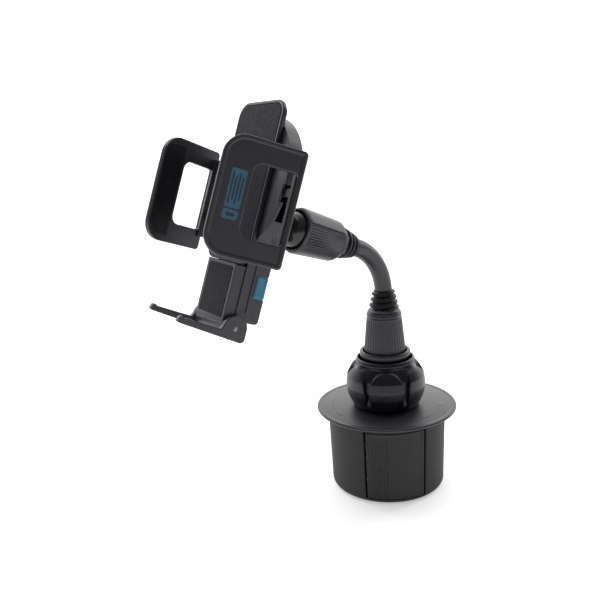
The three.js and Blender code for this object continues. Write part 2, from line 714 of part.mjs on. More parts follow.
// Back housing: round gear case, tail with the stem's slideway, and the boss for the ball stud.
function makeBackHousing() {
  const rimFront = coverBack + coverThickness - 0.1;
  const ballZ = -armsAboveBall;
  const disk = bar('x', discRadius + 1.4, discBack, rimFront, [0, discCentreZ], discSides);
  const tailShape = outlineYZ(tailHalfWidth, tailBottom, 4, 3.5);
  const tail = standing(tailShape, tailBack, tailFront);
  const boss = bar('x', bossRadius, tailBack, discBack + 0.5, [0, ballZ], 22);
  let shell = disk.add(tail).add(boss);
  // hollow of the gear case, and the seat of the front housing
  const mouth = rimFront + 1;
  const discPlace = [0, discCentreZ];
  shell = shell.subtract(bar('x', discRadius - housingWall, hollowBack, mouth, discPlace, discSides));
  shell = shell.subtract(bar('x', discRadius, coverBack - 0.2, mouth, discPlace, discSides));
  const supportHalf = plateHalfWidth - supportInset + GAP;
  const support = block([coverBack - GAP, mouth], [-supportHalf, supportHalf], [discCentreZ, plateTop]);
  shell = shell.subtract(support);
  // hollow of the tail
  const inside = tailHalfWidth - tailWall;
  shell = shell.subtract(block([tailBack + 2, tailFront - 1.3], [-inside, inside], [tailBottom - 1, -23]));
  shell = shell.subtract(block([tailFront - 2, tailFront + 4], [-7.8, 7.8], [tailBottom - 1, -12]));
  shell = shell.subtract(block([-10.2, tailFront + 4], [-inside, inside], [-24, -12.5]));
  shell = shell.subtract(block([-13.4, hollowBack + 1], [-5, 5], [-30, -9.5]));
  // room for the hinge lug at the bottom of the stem
  shell = shell.subtract(bar('y', lugRadius + 0.8, -20, 20, [hingeX, hingeZ], 24));
  // windows for the buttons
  for (const side of [-1, 1]) {
    const y = side > 0 ? [inside - 3, tailHalfWidth + 2] : [-tailHalfWidth - 2, 3 - inside];
    const z = [buttonTop - buttonHeight - GAP, buttonTop + GAP];
    shell = shell.subtract(block([tailBack - 1, buttonFront + GAP], y, z));
  }
  // slots for the arm rails
  const slotInner = pitchRadius - 1.5;
  const slotOuter = pitchRadius + rackHeight + 1.2;
  const slot = block([railBack - GAP, mouth], [0, discRadius + 3], [slotInner, slotOuter]);
  shell = shell.subtract(slot).subtract(slot.rotate([180, 0, 0]));
  // stud pocket, pinion shaft and screws
  const pocket = [0, ballZ];
  shell = shell.subtract(bar('x', studHead + 0.4, tailBack - 1, tailBack + 2.9, pocket, 18));
  shell = shell.subtract(bar('x', studRadius + GAP, tailBack - 1, tailBack + 3, pocket, 16));
  shell = shell.subtract(bar('x', postShaftRadius + GAP, hollowBack - 1.2, hollowBack + 1, [0, 0]));
  for (const place of screwPlaces) {
    shell = shell.subtract(bar('x', 1.6, discBack - 1, hollowBack + 1, place));
    shell = shell.subtract(bar('x', 2.9, tailBack - 1, discBack, place));
  }
  return shell;
}

add('back_housing', makeBackHousing(), satinBlack(), face);

screwPlaces.forEach((place, i) => {
  const head = bar('x', 2.5, discBack - 1.3, discBack - 0.2, place);
  const screw = head.add(bar('x', 1.25, discBack - 0.5, coverBack - 1, place, 8));
  add(`housing_screw_${i + 1}`, screw, steel(), face);
});

// ---- Pinion and racks ---------------------------------------------------------------------------
const pressureAngle = radians(20);
const backlash = 0.3;
const pinionAddendum = 0.55;
const pinionDedendum = 0.75;
const rackAddendum = 0.42;
const rackDedendum = 0.9;

// Involute teeth: the half width of a tooth falls with the involute of its radius.
function pinionOutline() {
  const baseRadius = pitchRadius * Math.cos(pressureAngle);
  const involute = (r) => {
    const angle = Math.acos(Math.min(1, baseRadius / r));
    return Math.tan(angle) - angle;
  };
  const halfAtPitch = Math.PI / (2 * pinionTeeth) - backlash / (2 * pitchRadius);
  const radii = [pitchRadius - pinionDedendum, baseRadius, pitchRadius, pitchRadius + pinionAddendum];
  const halves = radii.map((r) => halfAtPitch + involute(pitchRadius) - involute(Math.max(r, baseRadius)));
  const points = [];
  for (let tooth = 0; tooth < pinionTeeth; tooth += 1) {
    const centre = (2 * Math.PI * tooth) / pinionTeeth;
    const at = (r, angle) => [r * Math.cos(angle), r * Math.sin(angle)];
    const rising = radii.map((r, i) => at(r, centre - halves[i]));
    const falling = radii.map((r, i) => at(r, centre + halves[i]));
    points.push(...rising, ...falling.reverse());
  }
  return shapeOf(points);
}

add('arm_pinion', standing(pinionOutline(), railBack, railFront)
  .subtract(bar('x', postShaftRadius + 0.2, railBack - 1, railFront + 1)), nylon(), face);
add('pinion_shaft', bar('x', postShaftRadius, hollowBack - 0.9, coverBack + 0.3), steel(), face);
add('arm_spring', coil(4.2, 0.45, 0, 2.6, 2).rotate([0, 90, 0])
  .translate([hollowBack + 0.9, 0, 0]), steel(), face);

// Rail with rack teeth on its lower edge, for the near arm; the far arm turns it half round.
function rackOutline(from, to) {
  const pitch = Math.PI * gearModule;
  const half = pitch / 4 - backlash / 2;
  const slope = Math.tan(pressureAngle);
  const root = pitchRadius + rackDedendum;
  const tip = pitchRadius - rackAddendum;
  const points = [[to, pitchRadius + rackHeight], [from, pitchRadius + rackHeight], [from, root]];
  const toothedTo = armIn + 8;
  for (let centre = from + pitch; centre < toothedTo; centre += pitch) {
    points.push([centre - half - rackDedendum * slope, root], [centre - half + rackAddendum * slope, tip]);
    points.push([centre + half - rackAddendum * slope, tip], [centre + half + rackDedendum * slope, root]);
  }
  points.push([to, root]);
  return shapeOf(points);
}

// ---- Side arms --------------------------------------------------------------------------------
const rackStart = -(6.5 * Math.PI * gearModule);
const carriageY = discRadius + 1.4 + armIn + 0.5;

// Near arm: side plate with a window, leaning in by the curl, on a carriage with its rail.
function makeArm() {
  const half = armHeight / 2;
  const corners = [armBackCorner, armFrontCorner, armFrontCorner, armBackCorner];
  const outline = roundedRectangle(0, armLength, -half, half, corners);
  const windowShape = roundedRectangle(windowBack, windowFront, windowBottom, windowTop, [2, 4, 4, 2]);
  const plate = extrusion(outline, armWall);
  const hole = extrusion(windowShape, armWall + 2).translate(0, 0, -1);
  let side = solidOf(plate).subtract(solidOf(hole));
  side = side.rotate([90, 0, 0]).rotate([0, 0, -armCurl]).translate([armBackX, armBackY, 0]);
  const inside = armBackY - armWall;
  const carriage = block([railBack, armBackX + windowBack], [carriageY, inside + 0.6], [-14, 14]);
  const rail = standing(rackOutline(rackStart, inside), railBack, railFront);
  return side.add(carriage).add(rail);
}

const nearArm = makeArm();
add('arm_near', nearArm, satinBlack(), face);
const farSide = new THREE.Group();
farSide.rotation.x = Math.PI;
face.add(farSide);
add('arm_far', nearArm, satinBlack(), farSide);

// Soft pad inside the front bar of an arm.
function makeArmPad() {
  const outline = roundedRectangle(windowFront + 1.6, armLength - 1.6, -21, 21, corner4(4));
  const pad = solidOf(extrusion(outline, armPadThickness)).rotate([90, 0, 0]);
  return pad.translate([0, -armWall - GAP, 0]).rotate([0, 0, -armCurl]).translate([armBackX, armBackY, 0]);
}

add('arm_pad_near', makeArmPad(), padGrey(), face);
add('arm_pad_far', makeArmPad(), padGrey(), farSide);

// ---- Stem and feet -----------------------------------------------------------------------------
const stemTop = plateBottom - 0.5;
const stemBack = tailFront + GAP;
const runnerTop = -17.2;

function makeStem() {
  const blockShape = roundedRectangle(-stemHalfWidth, stemHalfWidth, hingeZ, stemTop, [0.1, 0.1, 2, 2]);
  const body = standing(blockShape, stemBack, stemFace);
  const lug = bar('y', lugRadius, -stemHalfWidth, stemHalfWidth, [hingeX, hingeZ], 24);
  const inside = tailHalfWidth - tailWall - GAP;
  const link = block([tailFront - 1.7, stemBack + 0.3], [-7.4, 7.4], [hingeZ + 3, stemTop]);
  const runnerX = [-9.6, tailFront - 1.3 - GAP];
  const runner = block(runnerX, [-inside, inside], [hingeZ + lugRadius + 1.5, runnerTop]);
  const tongue = block(runnerX, [-7.4, 7.4], [hingeZ, runnerTop]);
  const stem = body.add(lug).add(link).add(runner).add(tongue);
  return stem.subtract(bar('y', footPinRadius + GAP, -20, 20, [hingeX, hingeZ]));
}

add('stem_slider', makeStem(), satinBlack(), face);
const stemPadOutline = outlineYZ(stemHalfWidth - 2.2, hingeZ + 3.6, stemTop - 1.2, 1.2);
const stemPadBack = stemFace + GAP;
const stemPad = standing(stemPadOutline, stemPadBack, stemPadBack + stemPadThickness);
add('stem_pad', stemPad, padGrey(), face);

// Foot: round knuckle and a bar that climbs gently to a thicker tip.
function makeFoot() {
  const rise = Math.tan(radians(footRise));
  const back = -lugRadius * 0.8;
  const bottom = (x) => -lugRadius - 0.2 + (x - back) * rise * 0.86;
  const foot = new THREE.Shape();
  foot.moveTo(back, bottom(back));
  foot.lineTo(footReach - 0.8, bottom(footReach - 0.8));
  foot.lineTo(footReach, bottom(footReach) + 0.8);
  foot.lineTo(footReach - 1.2, bottom(footReach) + footThickness + 0.4);
  foot.lineTo(footReach - 3, bottom(footReach - 3) + footThickness);
  foot.lineTo(lugRadius, bottom(lugRadius) + footThickness + 1.4);
  foot.absarc(0, 0, lugRadius + 0.2, 0.1, Math.PI * 1.24, false);
  const plate = extrusion(foot, footWidth);
  const outside = stemHalfWidth + GAP + footWidth;
  const solid = solidOf(plate).rotate([90, 0, 0]).translate([hingeX, outside, hingeZ]);
  return solid.subtract(bar('y', footPinRadius + 0.35, 0, 30, [hingeX, hingeZ]));
}

const nearFoot = makeFoot();
add('foot_near', nearFoot, satinBlack(), face);
add('foot_far', nearFoot.mirror([0, 1, 0]), satinBlack(), face);
const pinHalf = stemHalfWidth + GAP + footWidth;
add('foot_pin', bar('y', footPinRadius, -pinHalf, pinHalf, [hingeX, hingeZ]), steel(), face);

// ---- Release buttons, springs and pawl -----------------------------------------------------------
const buttonFlangeX = [tailBack + 2.3, buttonFront + 1.4];

function makeButton() {
  const inside = tailHalfWidth - tailWall - GAP;
  const z = [buttonTop - buttonHeight, buttonTop];
  const key = block([tailBack - 0.1, buttonFront], [inside - 0.5, tailHalfWidth + buttonProud], z);
  const flange = block(buttonFlangeX, [inside - 1.8, inside], [z[0] - 1.7, z[1] + 1.7]);
  return key.add(flange);
}

const buttonSpringX = (buttonFlangeX[0] + buttonFlangeX[1]) / 2;
const buttonMiddleZ = buttonTop - buttonHeight / 2;
const springEnd = tailHalfWidth - tailWall - GAP - 2.1;
const buttonSpring = coil(1.6, 0.3, 4.6, springEnd - 0.6, 4).rotate([-90, 0, 0])
  .translate([buttonSpringX, 0, buttonMiddleZ]);
const nearButton = makeButton();
add('release_button_near', nearButton, skyBlue(), face);
add('release_button_far', nearButton.mirror([0, 1, 0]), skyBlue(), face);
add('button_spring_near', buttonSpring, steel(), face);
add('button_spring_far', buttonSpring.mirror([0, 1, 0]), steel(), face);

// Pawl: a bar behind the stem's runner with a nose that rises under the far arm's rail.
function makePawl() {
  const top = -pitchRadius - rackHeight - 0.4;
  const spine = block([-12.6, -10.6], [-4, 4], [buttonMiddleZ - 9, top - 0.4]);
  const nose = block([-11, railBack + 0.4], [-2, 2], [top - 2, top]);
  return spine.add(nose);
}

add('release_pawl', makePawl(), nylon(), face);
add('pawl_spring', coil(1.5, 0.28, 0, 5.4, 4)
  .translate([-12.4 + 0.8, 0, buttonMiddleZ - 9 - 6]), steel(), face);

export default object;
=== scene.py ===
"""Cup-holder phone mount: the finished surfaces, materials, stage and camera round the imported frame.

Local sizes are in millimetres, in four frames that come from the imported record: the base, the
neck, the ball joint and the phone face. Blender's objects are in metres.
"""
import json
import math

import bmesh
import bpy
import numpy as np
from mathutils import Matrix, Vector


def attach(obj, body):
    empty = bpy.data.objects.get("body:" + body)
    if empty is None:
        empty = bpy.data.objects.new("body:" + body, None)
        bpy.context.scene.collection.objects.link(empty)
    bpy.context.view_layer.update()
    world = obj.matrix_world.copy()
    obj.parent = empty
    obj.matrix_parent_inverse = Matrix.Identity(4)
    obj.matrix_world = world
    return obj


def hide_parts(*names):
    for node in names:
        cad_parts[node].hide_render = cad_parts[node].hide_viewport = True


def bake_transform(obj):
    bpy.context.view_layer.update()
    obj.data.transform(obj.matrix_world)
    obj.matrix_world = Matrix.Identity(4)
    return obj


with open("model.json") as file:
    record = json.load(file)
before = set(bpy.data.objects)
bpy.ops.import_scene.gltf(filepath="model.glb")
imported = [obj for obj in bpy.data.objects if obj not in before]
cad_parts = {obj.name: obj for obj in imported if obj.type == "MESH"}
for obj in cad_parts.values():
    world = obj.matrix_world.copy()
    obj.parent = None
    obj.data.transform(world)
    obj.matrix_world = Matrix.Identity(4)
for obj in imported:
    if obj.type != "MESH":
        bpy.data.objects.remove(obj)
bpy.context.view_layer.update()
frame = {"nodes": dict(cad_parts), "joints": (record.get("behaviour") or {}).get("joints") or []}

bl_info = {
    "name": "Cup-holder phone mount",
    "version": (1, 0, 0),
    "blender": (4, 5, 0),
    "location": "View3D > Sidebar > Phone mount",
    "description": "Builds the finished surfaces of a cup-holder phone mount",
    "category": "Add Mesh",
}

MM = 0.001


# ---- Local frames --------------------------------------------------------------------
class Place:
    """A local frame: an origin in metres and three unit axes. Local points are in millimetres."""

    def __init__(self, origin, x, y, z):
        self.origin = np.array(origin, float)
        self.axes = np.array([x, y, z], float)

    def out(self, points):
        """Local points as points of the whole object, in metres."""
        return self.origin + np.asarray(points) * MM @ self.axes

    def into(self, points):
        return (np.asarray(points) - self.origin) @ self.axes.T / MM

    def span(self, node):
        """Lowest and highest local corner of a CAD node."""
        mesh = frame["nodes"][node].data
        points = np.zeros(len(mesh.vertices) * 3)
        mesh.vertices.foreach_get("co", points)
        local = self.into(points.reshape(-1, 3))
        return local.min(0), local.max(0)


joints = {joint["name"]: joint for joint in frame["joints"]}


def joint_axis(name):
    axis = np.array(joints[name]["axis"], float)
    return axis / np.linalg.norm(axis)


UP = np.array([0.0, 0.0, 1.0])
sideways = joint_axis("neck_bend_lower")
ball_centre = np.array(joints["ball_tilt"]["pos_m"])
nut_axis = joint_axis("nut_turn")
face_normal = joint_axis("cradle_turn")
face_side = joint_axis("near_arm_slide")
face_up = np.cross(face_normal, face_side)

BASE = Place((0, 0, 0), (1, 0, 0), (0, 1, 0), UP)
NECK = Place((0, 0, 0), np.cross(sideways, UP), sideways, UP)
JOINT = Place(ball_centre, np.cross(sideways, nut_axis), sideways, nut_axis)
STUD = Place(ball_centre, face_normal, face_side, face_up)
FACE = Place(joints["pinion_turn"]["pos_m"], face_normal, face_side, face_up)
FAR = Place(joints["pinion_turn"]["pos_m"], face_normal, -face_side, -face_up)


# ---- Curves and profiles -------------------------------------------------------------
def smooth_step(value, low, high):
    """0 below low, 1 above high, and an S-shaped cubic between them."""
    share = np.clip((value - low) / (high - low), 0, 1)
    return share * share * (3 - 2 * share)


def arc(centre, radius, start, end, steps):
    """Points of a circular arc between two angles in degrees."""
    angle = np.radians(np.linspace(start, end, steps + 1))
    return np.stack([centre[0] + radius * np.cos(angle), centre[1] + radius * np.sin(angle)], -1)


def rounded(x, y, radii, inset=0.0, steps=8, middle=0):
    """Rounded rectangle, anticlockwise from its low corner: four quarter circles and four sides.

    Every point moves inwards by inset. Each side has a point close to each of its ends, which
    keeps flat faces flat when they are shaded smooth, and some in its middle.
    """
    corners = [(x[0], y[0], 1, 1), (x[1], y[0], -1, 1), (x[1], y[1], -1, -1), (x[0], y[1], 1, -1)]
    arcs = []
    for turn, ((cx, cy, sx, sy), radius) in enumerate(zip(corners, radii)):
        left = max(radius - inset, 0.02)
        centre = (cx + sx * (inset + left), cy + sy * (inset + left))
        arcs.append(arc(centre, left, 180 + 90 * turn, 270 + 90 * turn, steps))
    shares = np.concatenate([[0.02], np.linspace(0, 1, middle + 2)[1:-1], [0.98]])[:, None]
    points = []
    for this, following in zip(arcs, arcs[1:] + arcs[:1]):
        points += [this, this[-1] + shares * (following[0] - this[-1])]
    return np.concatenate(points)


def offset_outline(points, inset):
    """A closed outline moved inwards: each point moves along the mean normal of its two sides."""
    before, after = np.roll(points, 1, 0), np.roll(points, -1, 0)
    tangent = after - before
    tangent /= np.linalg.norm(tangent, axis=1, keepdims=True)
    return points + inset * np.stack([-tangent[:, 1], tangent[:, 0]], -1)


def slab(low, high, round_low=0.4, round_high=0.4, steps=4, support=0.12):
    """Profile of a plate's edge as (inset, height): a quarter circle at each face.

    Extra points close to both ends of each quarter circle keep the neighbouring faces flat.
    """
    turn = np.linspace(0, math.pi / 2, steps + 1)
    bottom = [(round_low * (1 - math.sin(a)), low + round_low * (1 - math.cos(a))) for a in turn]
    top = [(round_high * (1 - math.cos(a)), high - round_high * (1 - math.sin(a))) for a in turn]
    first, last = (round_low + support, low), (round_high + support, high)
    walls = [(0, low + round_low + support), (0, high - round_high - support)]
    return [first, *bottom, *(walls if walls[1][1] > walls[0][1] else []), *top, last]


YZX, XYZ, XZY = (1, 2, 0), (0, 1, 2), (0, 2, 1)


def stack(outline, profile, order=YZX):
    """Rings of an outline at each (inset, height); order says which axes take u, v and height."""
    rings = []
    for inset, height in profile:
        flat = outline(inset)
        ring = np.zeros((len(flat), 3))
        ring[:, order[0]], ring[:, order[1]], ring[:, order[2]] = flat[:, 0], flat[:, 1], height
        rings.append(ring)
    return np.array(rings)


def turned(profile, sides=96, axis=2, centre=(0, 0)):
    """Rings of a turned shape from (radius, height) about an axis through the centre."""
    radius, height = np.array(profile, float).T[:, :, None]
    angle = np.linspace(0, 2 * math.pi, sides, endpoint=False)[None, :]
    u = centre[0] + radius * np.cos(angle)
    v = centre[1] + radius * np.sin(angle)
    others = [(1, 2), (2, 0), (0, 1)][axis]
    points = np.zeros((*u.shape, 3))
    points[..., others[0]], points[..., others[1]], points[..., axis] = u, v, height
    return points


def soften(profile, radius, steps=3):
    """Rounds every corner of a closed (radius, height) profile with a short curve.

    A corner point becomes a quadratic curve between two points on its sides, no further away
    than the radius or 0.4 of the side.
    """
    loop = np.array(profile, float)
    before, after = np.roll(loop, 1, 0) - loop, np.roll(loop, -1, 0) - loop
    points = []
    for corner, back, on in zip(loop, before, after):
        ends = []
        for side in (back, on):
            length = np.linalg.norm(side)
            ends.append(corner + side / length * min(radius, 0.4 * length))
        t = np.linspace(0, 1, steps + 1)[:, None]
        curve = (1 - t) ** 2 * ends[0] + 2 * t * (1 - t) * corner + t * t * ends[1]
        flat = 0.08 * (ends[0] - corner)
        points += [ends[0] + flat, *curve, ends[1] + 0.08 * (ends[1] - corner)]
    return np.array(points)


# ---- Meshes --------------------------------------------------------------------------
def shell(points, loop=False, caps=True):
    """A grid of rings; loop joins the last ring to the first, and caps close the two ends."""
    return {"points": np.asarray(points, float), "loop": loop, "caps": caps and not loop}


def add_shell(target, part, place):
    """Adds one closed shell to a bmesh, with its faces pointing outwards."""
    points = part["points"]
    rows, columns = points.shape[:2]
    index = np.arange(rows * columns).reshape(rows, columns)
    ring = np.hstack([index, index[:, :1]])
    if part["loop"]:
        ring = np.vstack([ring, ring[:1]])
    quads = np.stack(
        [ring[:-1, :-1], ring[:-1, 1:], ring[1:, 1:], ring[1:, :-1]], -1
    ).reshape(-1, 4)
    faces = quads.tolist()
    if part["caps"]:
        faces += [index[0, ::-1].tolist(), index[-1].tolist()]
    mesh = bpy.data.meshes.new("shell")
    mesh.from_pydata(place.out(points.reshape(-1, 3)), [], faces)
    single = bmesh.new()
    single.from_mesh(mesh)
    bmesh.ops.remove_doubles(single, verts=single.verts, dist=2e-7)
    if single.calc_volume(signed=True) < 0:
        bmesh.ops.reverse_faces(single, faces=single.faces)
    single.to_mesh(mesh)
    single.free()
    target.from_mesh(mesh)
    bpy.data.meshes.remove(mesh)


def mesh_object(name, shells, place):
    joined = bmesh.new()
    for part in shells:
        add_shell(joined, part, place)
    mesh = bpy.data.meshes.new(name)
    joined.to_mesh(mesh)
    joined.free()
    piece = bpy.data.objects.new(name, mesh)
    bpy.context.scene.collection.objects.link(piece)
    return piece


def cut(piece, cutters):
    """Takes the cutters' solids out of the piece and removes them."""
    for cutter in cutters:
        modifier = piece.modifiers.new("cut", "BOOLEAN")
        modifier.operation = "DIFFERENCE"
        modifier.object = cutter
        modifier.solver = "EXACT"
    bpy.context.view_layer.update()
    evaluated = piece.evaluated_get(bpy.context.evaluated_depsgraph_get())
    result = bpy.data.meshes.new_from_object(evaluated)
    piece.modifiers.clear()
    piece.data = result
    for cutter in cutters:
        bpy.data.objects.remove(cutter)


def finish_piece(piece, body, material, replaces=(), sharp=34):
    """Smooth shading up to an angle, the material, the body it moves with and what it replaces."""
    mesh = piece.data
    mesh.polygons.foreach_set("use_smooth", np.ones(len(mesh.polygons), bool))
    mesh.set_sharp_from_angle(angle=math.radians(sharp))
    mesh.materials.clear()
    mesh.materials.append(material)
    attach(piece, body)
    if replaces:
        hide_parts(*replaces)
    return piece


def make(name, shells, place, body, material, replaces=(), sharp=34):
    return finish_piece(mesh_object(name, shells, place), body, material, replaces, sharp)


# ---- Materials -----------------------------------------------------------------------
class Recipe:
    """A node material that reads Object coordinates; sizes of its patterns are in millimetres."""

    def __init__(self, name):
        self.material = bpy.data.materials.new(name)
        self.material.use_nodes = True
        self.tree = self.material.node_tree
        self.shader = self.tree.nodes["Principled BSDF"]
        self.coordinates = self.tree.nodes.new("ShaderNodeTexCoord").outputs["Object"]

    def noise(self, size, detail=3.0, stretch=(1, 1, 1)):
        mapping = self.tree.nodes.new("ShaderNodeMapping")
        mapping.inputs["Scale"].default_value = stretch
        self.tree.links.new(self.coordinates, mapping.inputs["Vector"])
        noise = self.tree.nodes.new("ShaderNodeTexNoise")
        noise.inputs["Scale"].default_value = 1 / (size * MM)
        noise.inputs["Detail"].default_value = detail
        self.tree.links.new(mapping.outputs["Vector"], noise.inputs["Vector"])
        return noise.outputs["Fac"]

    def cells(self, size):
        cells = self.tree.nodes.new("ShaderNodeTexVoronoi")
        cells.inputs["Scale"].default_value = 1 / (size * MM)
        self.tree.links.new(self.coordinates, cells.inputs["Vector"])
        return cells.outputs["Distance"]

    def spread(self, source, low, high, target, ends=(0.3, 0.7)):
        """Sends the source, stretched from ends to low and high, to a socket of the shader."""
        node = self.tree.nodes.new("ShaderNodeMapRange")
        values = dict(zip(("From Min", "From Max", "To Min", "To Max"), (*ends, low, high)))
        for socket, value in values.items():
            node.inputs[socket].default_value = value
        self.tree.links.new(source, node.inputs["Value"])
        self.tree.links.new(node.outputs["Result"], self.shader.inputs[target])

    def colours(self, source, first, second):
        ramp = self.tree.nodes.new("ShaderNodeValToRGB")
        ramp.color_ramp.elements[0].position = 0.3
        ramp.color_ramp.elements[1].position = 0.7
        ramp.color_ramp.elements[0].color = (*first, 1)
        ramp.color_ramp.elements[1].color = (*second, 1)
        self.tree.links.new(source, ramp.inputs["Fac"])
        self.tree.links.new(ramp.outputs["Color"], self.shader.inputs["Base Color"])

    def bump(self, source, depth, strength=1.0, under=None):
        """Bump of the given depth in millimetres; under is another bump's output below it."""
        bump = self.tree.nodes.new("ShaderNodeBump")
        bump.inputs["Strength"].default_value = strength
        bump.inputs["Distance"].default_value = depth * MM
        self.tree.links.new(source, bump.inputs["Height"])
        if under:
            self.tree.links.new(under, bump.inputs["Normal"])
        self.tree.links.new(bump.outputs["Normal"], self.shader.inputs["Normal"])
        return bump.outputs["Normal"]


def moulded(name, colour, lighter, roughness, grain=0.35, depth=0.012, specular=0.2, vary=0.05):
    """Moulded plastic: spark-eroded grain, faint flow marks, and slightly uneven gloss."""
    recipe = Recipe(name)
    recipe.colours(recipe.noise(9, 4), colour, lighter)
    recipe.spread(recipe.noise(3.2, 4), roughness - vary, roughness + vary, "Roughness")
    flow = recipe.bump(recipe.noise(6, 2), depth)
    recipe.bump(recipe.noise(grain, 2), depth, 0.8, under=flow)
    recipe.shader.inputs["Specular IOR Level"].default_value = specular
    return recipe.material


def soft_pad(name, colour, lighter):
    """Rubber pad: a pebbled skin over fine grain, with a dull sheen."""
    recipe = Recipe(name)
    recipe.colours(recipe.noise(5, 5), colour, lighter)
    recipe.spread(recipe.noise(1.5, 3), 0.6, 0.72, "Roughness")
    recipe.shader.inputs["Specular IOR Level"].default_value = 0.2
    pebbles = recipe.bump(recipe.cells(0.9), 0.05, 0.6)
    recipe.bump(recipe.noise(0.3, 2), 0.02, 0.7, under=pebbles)
    return recipe.material


def plated(name, colour, lighter):
    """Plated steel: brushed along one direction, with small dull spots."""
    recipe = Recipe(name)
    recipe.colours(recipe.noise(2.5, 4), colour, lighter)
    recipe.spread(recipe.noise(0.4, 3, (1, 1, 0.1)), 0.22, 0.42, "Roughness")
    recipe.bump(recipe.noise(0.25, 2, (1, 1, 0.08)), 0.004)
    recipe.shader.inputs["Metallic"].default_value = 1.0
    return recipe.material


def printed(name, colour, lighter):
    """Printed ink film: faint blotches and a fine screen grain."""
    recipe = Recipe(name)
    recipe.colours(recipe.noise(1.4, 3), colour, lighter)
    recipe.spread(recipe.noise(0.8, 2), 0.42, 0.55, "Roughness")
    recipe.bump(recipe.noise(0.2, 2), 0.006)
    return recipe.material


# ---- What a user can change ----------------------------------------------------------
def length(name, description, default):
    return bpy.props.FloatProperty(
        name=name, description=description, default=default, min=0, subtype="DISTANCE", unit="LENGTH"
    )


def count(name, description, default):
    return bpy.props.IntProperty(name=name, description=description, default=default, min=3)


def colour(name, description, default):
    return bpy.props.FloatVectorProperty(
        name=name, description=description, default=default, subtype="COLOR", size=3, min=0, max=1
    )


class MountSizes(bpy.types.PropertyGroup):
    """Sizes of the details that the frame leaves open."""

    groove_depth: length("Groove depth", "Depth of the fine grooves in a grip segment", 0.00035)
    lobe_height: length("Lobe height", "How far a knob lobe stands out of the valleys", 0.0027)
    flute_count: count("Sleeve flutes", "Flutes round the tapered sleeve", 40)
    flute_depth: length("Sleeve flute depth", "Depth of a flute in the sleeve", 0.0003)
    rib_count: count("Nut ribs", "Ribs in each ribbed band of the ball nut", 9)
    rib_depth: length("Nut rib depth", "Depth of the grooves between the nut's ribs", 0.0007)
    thread_pitch: length("Boot pitch", "Distance between the turns of a rubber boot", 0.0034)
    arm_edge: length("Arm edge", "Rounding of the outer edge of an arm", 0.0008)


class MountColours(bpy.types.PropertyGroup):
    """Colours of the finishes."""

    plastic: colour("Plastic", "Satin black plastic", (0.0035, 0.0035, 0.006))
    plastic_light: colour(
        "Plastic, lighter", "Lighter patches of the plastic", (0.0055, 0.0055, 0.0085)
    )
    pad: colour("Pad", "Rubber pads", (0.007, 0.007, 0.0095))
    blue: colour("Blue", "Release buttons and the printed patch", (0.04, 0.16, 0.25))


def sizes():
    return bpy.context.scene.mount_sizes


def finish(name):
    """The named material, made the first time it is asked for."""
    found = bpy.data.materials.get(name)
    if found:
        return found
    colours = bpy.context.scene.mount_colours
    dark, light, pad, blue = colours.plastic, colours.plastic_light, colours.pad, colours.blue
    paler = [min(1, c * 1.25) for c in blue]
    recipes = {
        "satin_black": lambda: moulded(name, dark, light, 0.34, depth=0.009),
        "matt_black": lambda: moulded(name, dark, light, 0.42, grain=0.5, depth=0.012),
        "smooth_black": lambda: moulded(
            name, dark, light, 0.33, grain=1.5, depth=0.001, specular=0.45
        ),
        "gloss_black": lambda: moulded(
            name, dark, light, 0.12, depth=0.002, specular=0.5, vary=0.03
        ),
        "rubber": lambda: moulded(name, dark, light, 0.45, grain=0.25, depth=0.012, specular=0.3),
        "soft_pad": lambda: soft_pad(name, pad, [c * 1.3 for c in pad]),
        "plated_steel": lambda: plated(name, (0.5, 0.5, 0.52), (0.62, 0.62, 0.63)),
        "nylon": lambda: moulded(name, (0.7, 0.68, 0.62), (0.78, 0.76, 0.7), 0.5),
        "button_blue": lambda: moulded(name, blue, paler, 0.36, depth=0.006),
        "printed_blue": lambda: printed(name, [c * 0.5 for c in blue], [c * 0.65 for c in blue]),
        "printed_dark": lambda: printed(name, (0.006, 0.016, 0.026), (0.009, 0.024, 0.036)),
    }
    return recipes[name]()


# ---- Base ----------------------------------------------------------------------------
SEGMENTS = {"grip_segment_1": -90, "grip_segment_2": 30, "grip_segment_3": 150}
WINDOW_HALF = 31.2
PANEL_HALF = 29.3
CUP_EDGE = 3.6
CUP_TAPER = 1.2


def cup_radius(height, top_radius, top):
    """Radius of the cup's outside: a straight taper above a quarter-round bottom edge."""
    bottom = top_radius - CUP_TAPER
    straight = bottom + CUP_TAPER * np.clip((height - CUP_EDGE) / (top - CUP_EDGE), 0, 1)
    drop = np.clip(CUP_EDGE - height, 0, CUP_EDGE)
    return straight - CUP_EDGE + np.sqrt(CUP_EDGE**2 - drop**2)


